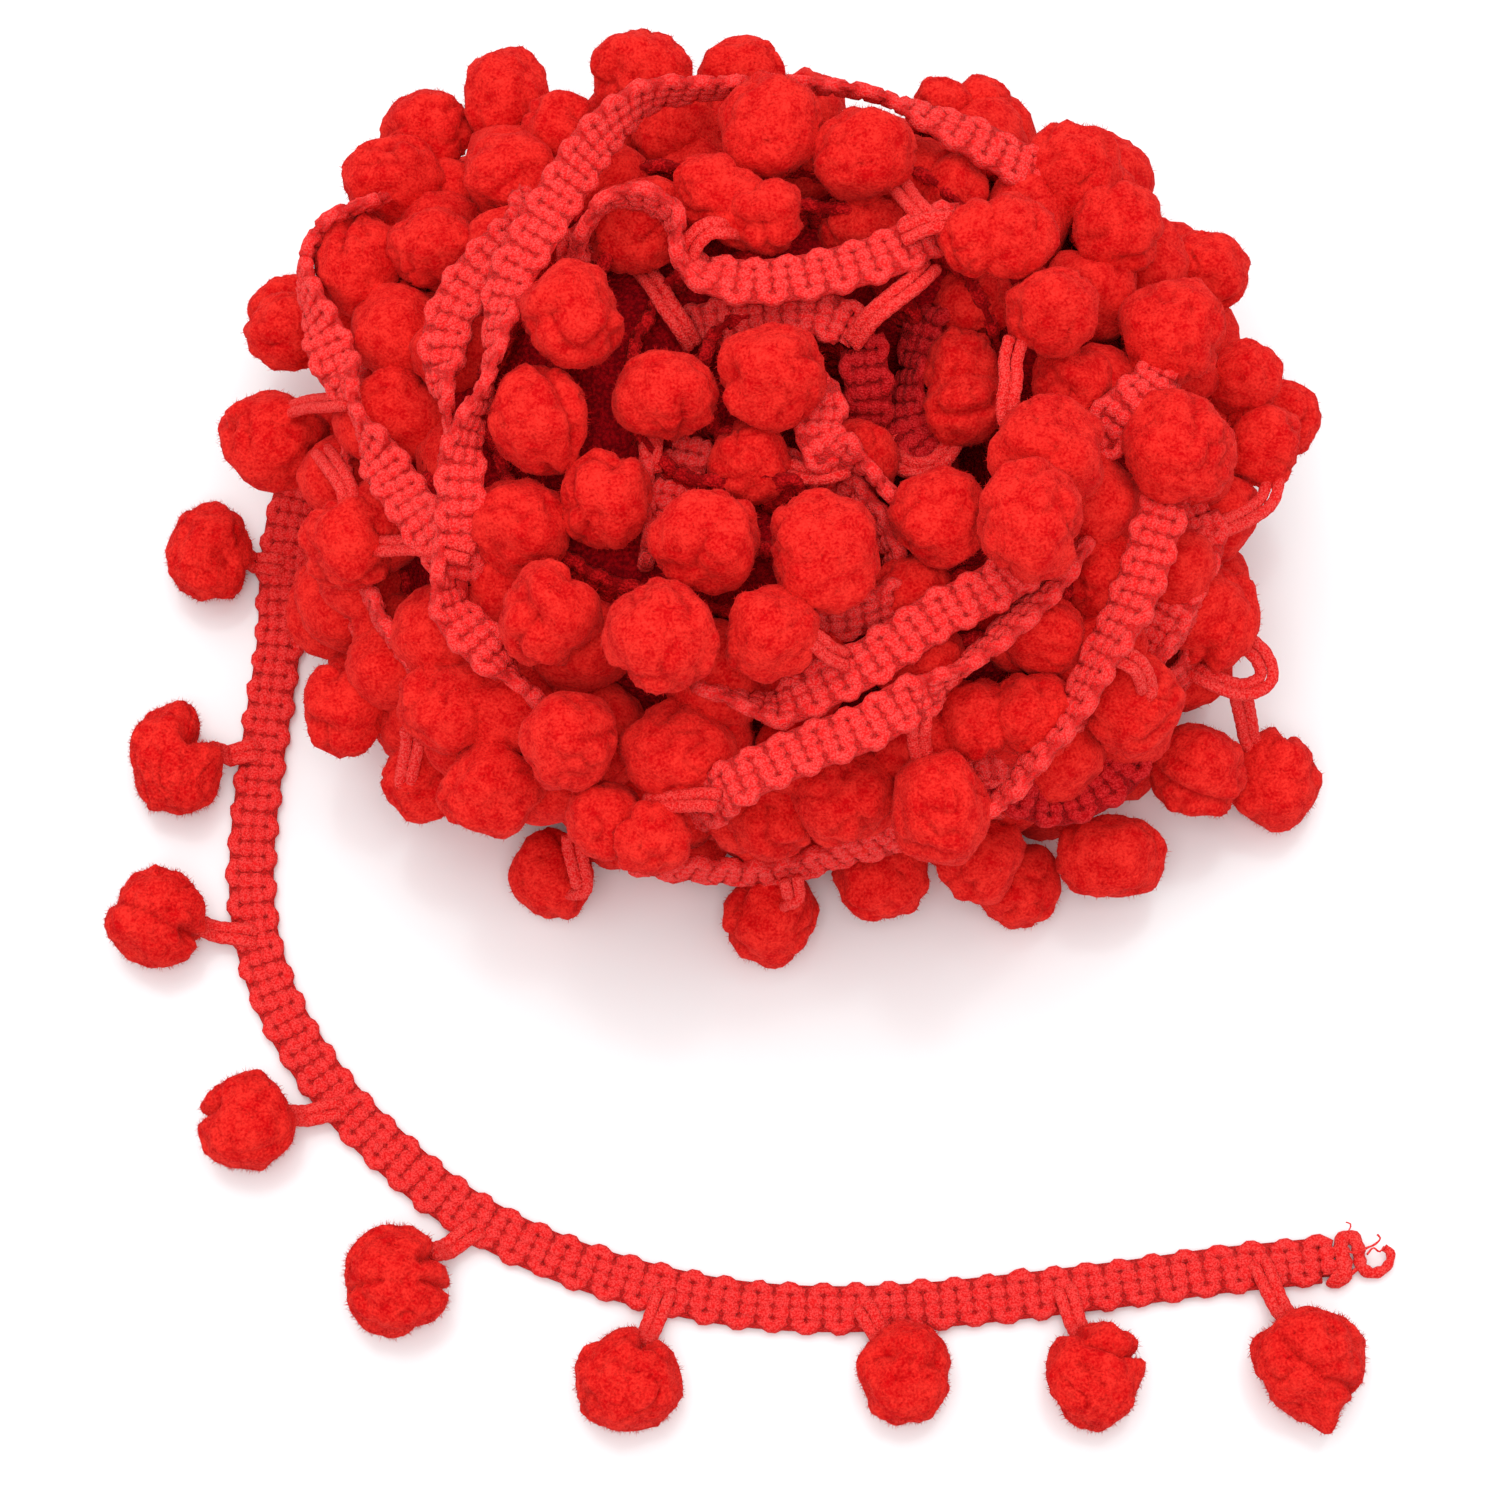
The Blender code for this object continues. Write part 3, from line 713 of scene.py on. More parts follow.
# %% Loose end pompoms
TAIL_POMPOMS = (
    {"x": -59.2, "y": -3.6, "size": (8.6, 10.4), "foot": (-52.4, -4.2), "folds": (
        {"from": (-0.58, 0.48), "to": (-0.39, 0.34), "depth": 0.10, "width": 0.12},
        {"from": (0.36, -0.30), "to": (0.58, -0.46), "depth": 0.10, "width": 0.12})},
    {"x": -61.4, "y": -26.5, "size": (9.6, 11.4), "foot": (-54.2, -24.7), "folds": (
        {"from": (0.50, 0.35), "to": (1.1, 0.85), "depth": 0.55, "width": 0.30, "through": True},)},
    {"x": -62.8, "y": -43.5, "size": (9.8, 9.8), "foot": (-54.0, -44.4), "folds": (
        {"from": (-0.90, 0.27), "to": (0.67, -0.50), "depth": 0.12, "width": 0.10},
        {"from": (0.71, -0.45), "to": (1.0, -0.45), "depth": 0.30, "width": 0.12, "through": True})},
    {"x": -52.8, "y": -64.6, "size": (9.4, 9.6), "foot": (-44.6, -62.6), "folds": (
        {"from": (-1.05, 0.12), "to": (-0.66, 0.26), "depth": 0.28, "width": 0.12, "through": True},)},
    {"x": -37.7, "y": -80.5, "size": (10.8, 10.8), "foot": (-30.6, -75.0), "folds": (
        {"from": (-0.97, -0.29), "to": (-0.20, -0.25), "depth": 0.16, "width": 0.10},
        {"from": (0.59, 0.27), "to": (0.90, 0.55), "depth": 0.32, "width": 0.13, "through": True},
        {"from": (0.60, -0.20), "to": (1.0, -0.19), "depth": 0.22, "width": 0.09, "through": True})},
    {"x": -14.9, "y": -90.6, "size": (10.0, 10.0), "foot": (-11.6, -81.6), "folds": (
        {"from": (0.35, 0.66), "to": (0.42, 1.1), "depth": 0.32, "width": 0.13, "through": True},)},
    {"x": 12.1, "y": -89.8, "size": (9.0, 9.8), "foot": (8.4, -83.0), "folds": (
        {"from": (-0.50, 0.33), "to": (-0.32, 0.25), "depth": 0.20, "width": 0.15},
        {"from": (0.36, 0.0), "to": (0.68, 0.11), "depth": 0.15, "width": 0.10})},
    {"x": 30.6, "y": -89.8, "size": (9.6, 10.6), "foot": (28.2, -81.4), "folds": (
        {"from": (-0.22, 0.55), "to": (0.54, 0.28), "depth": 0.25, "width": 0.10},
        {"from": (0.54, 0.28), "to": (1.0, 0.38), "depth": 0.30, "width": 0.10, "through": True},
        {"from": (-0.44, 0.09), "to": (0.12, -0.40), "depth": 0.16, "width": 0.09},
        {"from": (-0.6, 1.0), "to": (-0.25, 0.8), "depth": 0.25, "width": 0.28, "through": True})},
    {"x": 51.5, "y": -88.6, "size": (11.0, 10.4), "foot": (47.6, -78.8), "folds": (
        {"from": (-0.61, 0.29), "to": (-0.32, -0.10), "depth": 0.15, "width": 0.10},
        {"from": (-0.32, -0.10), "to": (0.10, -0.42), "depth": 0.15, "width": 0.10},
        {"from": (0.14, -0.52), "to": (0.86, -0.58), "depth": 0.15, "width": 0.09},
        {"from": (0.25, -1.0), "to": (0.28, -1.2), "depth": -0.28, "width": 0.22})},
)
FLAT_SPOT = 0.4
TAIL_CUTS = 23
TAIL_HAIRS = {"count": 1900, "length": 0.13}
POMPOM_SEED = 100
LUMP_SEED_STEP = 1.31

tail_blank = blank_ball(TAIL_CUTS)
print("faces of a blank ball:", len(tail_blank[1]))
for number, row in enumerate(TAIL_POMPOMS, start=1):
    rng = np.random.default_rng(POMPOM_SEED + number)
    ball, faces, hollow = felt_ball(tail_blank, number * LUMP_SEED_STEP, row["folds"])
    wide, deep = row["size"]
    height = min(wide, deep)
    sizes = np.array((wide, deep, height)) / 2
    middle = np.array((row["x"], row["y"], height / 2 - FLAT_SPOT))
    fuzz, fuzz_faces = hairs(ball, faces, TAIL_HAIRS["count"], TAIL_HAIRS["length"], rng)
    parts = [(ball * sizes + middle, faces, hollow), (fuzz * sizes + middle, fuzz_faces)]
    piece = make_piece(f"tail_pompom_felt_{number}", parts, felt)
    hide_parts(f"tail_pompom_{number}")

# %% [markdown]
# ## Loops
#
# Each pompom hangs on a loop of soft cord that is sewn down from the middle of the braid to its
# edge.  The two legs lie side by side over the face of the braid and run together into the felt.
# A curve with a bevel would do for one cord, but two tubes from one route stay side by side.

# %% Twin cord
LOOP_RADIUS = 0.62
CORD_STEP = 0.45
CORD_SIDES = 8
CORD_FLAT = 0.85
CORD_SWELL = {"height": 0.06, "pace": 2.4}


def twin_cord(rows, spread_start, spread_end, rng):
    """Two cords side by side through rows of x, y, z; the spread is from middle to middle."""
    route = smooth_route(rows, CORD_STEP)
    along = unit(np.gradient(route, axis=0))
    side = unit(np.cross(along, (0, 0, 1)))
    up = np.cross(side, along)
    share = np.linspace(0, 1, len(route))[:, None]
    half = (spread_start * (1 - share) + spread_end * share) / 2
    parts = []
    for way in (-1, 1):
        phase = rng.uniform(0, 6)
        swell = 1 + CORD_SWELL["height"] * np.sin(np.arange(len(route)) * CORD_SWELL["pace"] + phase)
        leg = route + side * half * way
        parts.append(tube(leg, LOOP_RADIUS * swell, up, CORD_SIDES, flat=CORD_FLAT))
    return parts


# %% [markdown]
# A loop's steps are how far it has come out from its foot and how high it is there.  Then it rises
# in a low hump and ends inside its ball.  The feet and the balls differ, but not these steps, so a
# loop makes all nine.

# %% Loops
LOOP_STEPS = (
    {"out": -0.9, "height": 1.0},
    {"out": -0.2, "height": 1.75},
    {"out": 1.2, "height": 1.85},
    {"out": 2.4, "height": 1.75},
)
LOOP_CREST = {"share": 0.7, "height": 2.3}
LOOP_REACH = 0.8
SEWN_SPREAD = 1.3
FELT_SPREAD = 0.9

for number, row in enumerate(TAIL_POMPOMS, start=1):
    foot = Vector(row["foot"])
    ball = Vector((row["x"], row["y"]))
    out = (ball - foot).normalized()
    reach = LOOP_REACH * min(row["size"]) / 2
    end = ball - out * reach
    rows = [(*(foot + out * step["out"]), step["height"]) for step in LOOP_STEPS]
    rows.append((*foot.lerp(end, LOOP_CREST["share"]), LOOP_CREST["height"]))
    rows.append((*end, min(row["size"]) / 2 - FLAT_SPOT))
    parts = twin_cord(rows, SEWN_SPREAD, FELT_SPREAD, np.random.default_rng(number))
    piece = make_piece(f"tail_loop_cord_{number}", parts, cord_yarn)
    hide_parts(f"tail_loop_{number}")

# %% [markdown]
# ## The cut end
#
# Where the braid was cut, its weft has come loose: the last pass slackens and curls out and back like
# a hook, growing thinner, and a few thin yarns twist beside it.  A simulation would not know how they
# were pulled, so their points are given one by one.

# %% Cut end
YARN_ENDS = (
    {"radii": (0.98, 0.42), "rows": (
        (54.5, -79.3, 0.85), (55.1, -79.7, 0.9), (55.7, -79.0, 0.95), (55.7, -77.7, 1.0),
        (55.5, -76.5, 1.0), (55.8, -75.6, 1.05), (56.7, -75.5, 1.1), (57.2, -76.4, 1.1),
        (57.3, -77.5, 1.0), (57.6, -78.5, 0.9), (58.5, -79.0, 0.8), (59.6, -78.7, 0.8),
        (60.3, -77.9, 0.9), (60.4, -77.0, 1.0), (59.8, -76.5, 1.1))},
    {"radii": (0.30, 0.20), "rows": (
        (55.2, -78.2, 0.8), (56.2, -79.0, 0.7), (56.9, -78.7, 0.8), (57.3, -78.3, 0.9),
        (57.6, -78.6, 0.8), (57.9, -79.0, 0.5))},
    {"radii": (0.10, 0.07), "rows": (
        (55.7, -75.5, 1.5), (56.3, -74.9, 1.7), (56.5, -74.3, 1.8), (56.0, -74.1, 1.9))},
    {"radii": (0.14, 0.10), "rows": (
        (55.4, -76.7, 1.3), (57.0, -77.2, 1.8), (58.0, -76.7, 1.9), (58.8, -76.3, 1.6),
        (59.4, -75.7, 1.5), (59.1, -75.3, 1.7))},
    {"radii": (0.11, 0.08), "rows": (
        (58.0, -77.3, 1.5), (58.6, -76.7, 1.9), (59.2, -77.1, 1.9), (59.7, -76.5, 1.6))},
)
END_STEP = 0.25
END_SWELL = {"height": 0.12, "pace": 1.3}

ends = []
for end in YARN_ENDS:
    route = smooth_route(end["rows"], END_STEP)
    swell = 1 + END_SWELL["height"] * np.sin(np.arange(len(route)) * END_SWELL["pace"])
    radii = np.linspace(*end["radii"], len(route)) * swell
    ends.append(tube(route, radii, (0, 0, 1), CORD_SIDES))
tail_end = make_piece("tail_yarn_ends", ends, cord_yarn)

# %% [markdown]
# ## Pompoms of the heap
#
# The heap's pompoms are the same felt balls, crowded together.  Each could have a table of folds of
# its own, but many more are seen in part than whole.  So eight balls, one plain and seven with one
# or two folds, are modelled once and copied, and each copy is turned, stretched a little and scaled
# to its place.  One row below is one pompom: x, y, z of its middle and its diameter.

# %% Heap pompom places
HEAP_POMPOMS = {
    "back_rim": (
        (-28, 36.4, 28, 10.6), (-14, 36, 34, 9.5), (-4, 38, 30, 8), (-36, 34, 25, 9),
        (-39, 27, 28, 10.5), (-26.5, 24, 36, 8.6), (-22, 30, 33, 8.5), (-10, 30, 34, 9.5),
        (-1, 25, 44, 9.5), (8, 22, 44, 9.5), (-7, 17.5, 46, 6.6), (-4.5, 16, 45, 7),
        (-1.5, 14.5, 46, 7.2), (16.3, 33.5, 32, 6), (20.3, 34.5, 30, 6), (17, 22, 36, 8.5),
        (8, 17, 38, 8.5), (-13.5, 15.6, 41.5, 10)),
    "right_side": (
        (29, 24, 36, 10.5), (33, 17, 38, 9.5), (18.5, 11.5, 47, 7.2), (22, 12, 47, 8.2),
        (26, 5, 45, 9.5), (38, 6, 38, 10.5), (43, 18, 26, 8), (46, 6, 27, 8), (48, 0, 24, 9),
        (50.5, 5, 18.5, 8), (38, -7, 40, 10.5), (28, 0, 38, 9), (19, 10, 36, 8), (17.5, 3, 36, 7.6),
        (18, -1, 36, 8), (25, -10, 45, 10.5), (23, -18, 49, 10.5), (15, -15, 42, 9),
        (43, -17, 20, 9.5), (31, -17, 32, 8.5)),
    "crown": (
        (-1, -2, 46, 10), (-11, -4, 45, 9.5), (-20, 3, 48, 10.5), (-23, -6, 44, 10),
        (-16.6, -13.1, 41.5, 9.5), (-3, -9, 40, 9), (-7, -19, 46, 10.5), (4, -20, 46, 11),
        (-25, -15, 39, 9), (-22, -25, 42, 10), (-11, -29, 47, 10.5), (-1, -28, 45, 10),
        (13, -21, 36, 8.5), (7.2, -6.5, 35, 8.5)),
    "left_side": (
        (-51, 2, 20, 10), (-42, 17, 30, 10), (-34, 17, 33, 8.5), (-50, 16, 16, 8),
        (-51, 21, 11, 7.5), (-38, 12, 27, 8.5), (-38, 2, 29, 8.5), (-35, 11, 28, 7.5),
        (-42, -13, 30, 9.5), (-46, -12, 11, 9.5), (-38, -19, 20, 9), (-43, -25, 16, 9.5),
        (-32, -29, 28, 9.5)),
    "front_slope": (
        (-20, -36, 38, 9.5), (-10, -36, 35, 9.5), (-17, -42, 32, 7.8), (-12.5, -44.2, 33, 8.4),
        (-28, -37, 26, 9.5), (-35, -32, 15, 8.5), (-23, -39, 4.6, 9.5), (-1, -43.4, 4.8, 9.6),
        (10, -40, 8, 9), (20, -39, 11, 9), (24, -40, 4.2, 8.5), (33, -38.4, 9, 9.5),
        (15, -41, 32, 10.5), (6, -38, 28, 9.5), (-1, -39, 24, 9), (18.5, -32, 32, 8),
        (24, -31.5, 32, 9), (25, -24, 34, 8.5), (34, -29, 28, 10), (42, -30, 11, 9.5),
        (50.2, -28.9, 4.8, 9.6)),
}
print("pompoms placed by hand:", sum(len(rows) for rows in HEAP_POMPOMS.values()))

# %% [markdown]
# A fold that is turned with its ball looks new each time, so eight sets of folds are enough.  These
# balls have deeper creases than those of the loose end, because their neighbours squeeze them.

# %% Heap pompom patterns
HEAP_FOLDS = (
    (),
    ({"from": (-0.6, 0.1), "to": (0.2, 0.4), "depth": 0.17, "width": 0.13, "through": True},),
    ({"from": (-0.2, -0.7), "to": (0.1, 0.1), "depth": 0.15, "width": 0.12, "through": True},
     {"from": (0.1, 0.1), "to": (0.7, 0.2), "depth": 0.15, "width": 0.12, "through": True}),
    ({"from": (0.5, -0.3), "to": (0.7, 0.4), "depth": 0.14, "width": 0.12},),
    ({"from": (0.0, 1.0), "to": (0.2, 0.3), "depth": 0.24, "width": 0.16, "through": True},),
    ({"from": (-0.7, -0.3), "to": (0.0, -0.1), "depth": 0.16, "width": 0.12},
     {"from": (0.0, -0.1), "to": (0.2, 0.7), "depth": 0.16, "width": 0.12, "through": True}),
    ({"from": (0.4, -0.9), "to": (0.1, -0.2), "depth": 0.20, "width": 0.14},),
    ({"from": (-0.1, 0.3), "to": (0.3, 0.2), "depth": 0.22, "width": 0.12, "through": True},
     {"from": (-0.9, -0.5), "to": (-0.4, -0.4), "depth": 0.18, "width": 0.14, "through": True}),
)
KINDS = len(HEAP_FOLDS)
HEAP_CUTS = 13
HEAP_CREASE = (0.085, 0.10)
HEAP_HAIRS = {"count": 710, "length": 0.13}
HEAP_LUMPS = 20
KIND_STEP = 1.7

heap_blank = blank_ball(HEAP_CUTS)
patterns = []
for kind, folds in enumerate(HEAP_FOLDS):
    rng = np.random.default_rng(kind)
    ball, faces, hollow = felt_ball(heap_blank, HEAP_LUMPS + kind * KIND_STEP, folds, HEAP_CREASE)
    fuzz = hairs(ball, faces, HEAP_HAIRS["count"], HEAP_HAIRS["length"], rng)
    patterns.append(join_parts([(ball, faces, hollow), fuzz]))
print("patterns:", KINDS, "faces each:", len(patterns[0][1]))

# %% [markdown]
# Each side of the heap becomes one piece.  Every ball could be an object of its own, but then the
# heap would be a list of two hundred names that nobody can find their way in.

# %% Heap pompoms
STRETCH = 0.07


def heap_pompom(pattern, row, rng):
    """A turned and scaled copy of a pattern in its place in the heap."""
    verts, faces, hollow = pattern
    turn = np.array(Euler(rng.uniform(0, 2 * math.pi, 3)).to_matrix())
    stretch = rng.normal(1, STRETCH, 3)
    placed = (verts @ turn.T) * stretch * row[3] / 2 + np.array(row[:3])
    return placed, faces, hollow


heap_pieces = []
for region, rows in HEAP_POMPOMS.items():
    rng = np.random.default_rng(len(region))
    parts = [heap_pompom(patterns[rng.integers(KINDS)], row, rng) for row in rows]
    heap_pieces.append(make_piece(f"heap_pompoms_{region}", parts, felt))

# %% [markdown]
# ## Flanks of the heap
#
# Below the rim the flanks are the sides of the wound turns: courses of pompoms round an oval, with
# turns of braid on edge between them.  They could be listed one by one like the others, but here the
# winding itself gives the order, so a loop walks round the oval, which is a little boxier than an
# ellipse.  Behind the crown the upper courses are open for a pompom's breadth, below the topmost
# strand.

# %% Ovals
FLANK_COURSES = (
    {"z": 4.6, "half_x": 43, "back": 37, "front": 34.5, "count": 26, "first": 7},
    {"z": 13.0, "half_x": 44, "back": 38, "front": 35, "count": 27, "first": 0},
    {"z": 21.5, "half_x": 43, "back": 37, "front": 36.5, "count": 26, "first": 3},
    {"z": 29.0, "half_x": 39, "back": 33, "front": 34, "count": 23, "first": 9},
    {"z": 34.5, "half_x": 31, "back": 25, "front": 28, "count": 17, "first": 0},
)
FLANK_TURNS = (
    {"z": 9.0, "half_x": 44.5, "back": 38.5, "front": 35.5},
    {"z": 17.5, "half_x": 44.5, "back": 38.5, "front": 37},
    {"z": 25.0, "half_x": 42.5, "back": 34.5, "front": 36.5},
)
SQUARENESS = 2.6
print("flank pompoms:", sum(course["count"] for course in FLANK_COURSES), "before the opening")


def oval_point(oval, bearing, share=1.0):
    """The point at a bearing, in degrees from +X, on an oval or on a smaller one inside it."""
    cosine = math.cos(math.radians(bearing))
    sine = math.sin(math.radians(bearing))
    reach = oval["back"] if sine > 0 else oval["front"]
    size = (abs(cosine) / oval["half_x"]) ** SQUARENESS + (abs(sine) / reach) ** SQUARENESS
    radius = share * size ** (-1 / SQUARENESS)
    return radius * cosine, radius * sine, oval["z"]


# %% [markdown]
# Of the flank's pompoms only a part shows, so they have fewer faces and fewer, longer hairs.  The
# trim was wound loosely by hand, so no pompom sits exactly on its course, and no two are equally
# large.

# %% Flank pompoms
OPENING = {"above": 20, "first": 65, "last": 80}
FLANK_CUTS = 7
FLANK_HAIRS = {"count": 100, "length": 0.16}
FLANK_LUMPS = 40
FLANK_HAIR_SEED = 50
FLANK_SEED = 77
FLANK_POMPOM = 9.5
FLANK_SUNK = 0.3
FLANK_SPREAD = {"bearing": 1.6, "share": 0.012, "height": 1.2, "size": 0.06}

flank_blank = blank_ball(FLANK_CUTS)
flank_patterns = []
for kind in range(KINDS):
    rng = np.random.default_rng(FLANK_HAIR_SEED + kind)
    ball, faces, hollow = felt_ball(flank_blank, FLANK_LUMPS + kind * KIND_STEP)
    fuzz = hairs(ball, faces, FLANK_HAIRS["count"], FLANK_HAIRS["length"], rng)
    flank_patterns.append(join_parts([(ball, faces, hollow), fuzz]))

rng = np.random.default_rng(FLANK_SEED)
parts = []
for course in FLANK_COURSES:
    for index in range(course["count"]):
        bearing = course["first"] + 360 * index / course["count"]
        bearing += rng.normal(0, FLANK_SPREAD["bearing"])
        x, y, z = oval_point(course, bearing, rng.normal(1, FLANK_SPREAD["share"]))
        z = max(z + rng.normal(0, FLANK_SPREAD["height"]), FLANK_POMPOM / 2 - FLANK_SUNK)
        row = (x, y, z, FLANK_POMPOM * rng.normal(1, FLANK_SPREAD["size"]))
        placed = heap_pompom(flank_patterns[rng.integers(KINDS)], row, rng)
        if course["z"] < OPENING["above"] or not OPENING["first"] < bearing < OPENING["last"]:
            parts.append(placed)
heap_pieces.append(make_piece("heap_pompoms_flank", parts, felt))

# %% [markdown]
# The turns of braid between the courses stand nearly on edge.  A plain ring would look like a
# machine's work, so each turn rises and falls three times on its way round and leans to and fro.
# Little of them shows, so their weft has fewer rings and sides.

# %% Flank turns
TURN_STEP = 12
TURN_WAVE = {"height": 1.6, "waves": 3, "shift": 2}
TURN_LEAN = 80
TURN_SPREAD = {"share": 0.008, "lean": 16}
COARSE_SIDES = 5

parts = []
for number, turn in enumerate(FLANK_TURNS):
    rng = np.random.default_rng(number)
    rows = []
    for bearing in range(0, 360, TURN_STEP):
        x, y, z = oval_point(turn, bearing, rng.normal(1, TURN_SPREAD["share"]))
        wave = math.radians(TURN_WAVE["waves"] * bearing) + number * TURN_WAVE["shift"]
        rise = TURN_WAVE["height"] * math.sin(wave)
        rows.append((x, y, z + rise, TURN_LEAN + rng.normal(0, TURN_SPREAD["lean"])))
    parts += braid(rows, COARSE_STOPS, COARSE_SIDES, rng)
# The flank's turns also get the paler finish, painted light.
heap_pieces.append(make_piece("heap_turns_flank", parts, painted_light_turn_yarn))
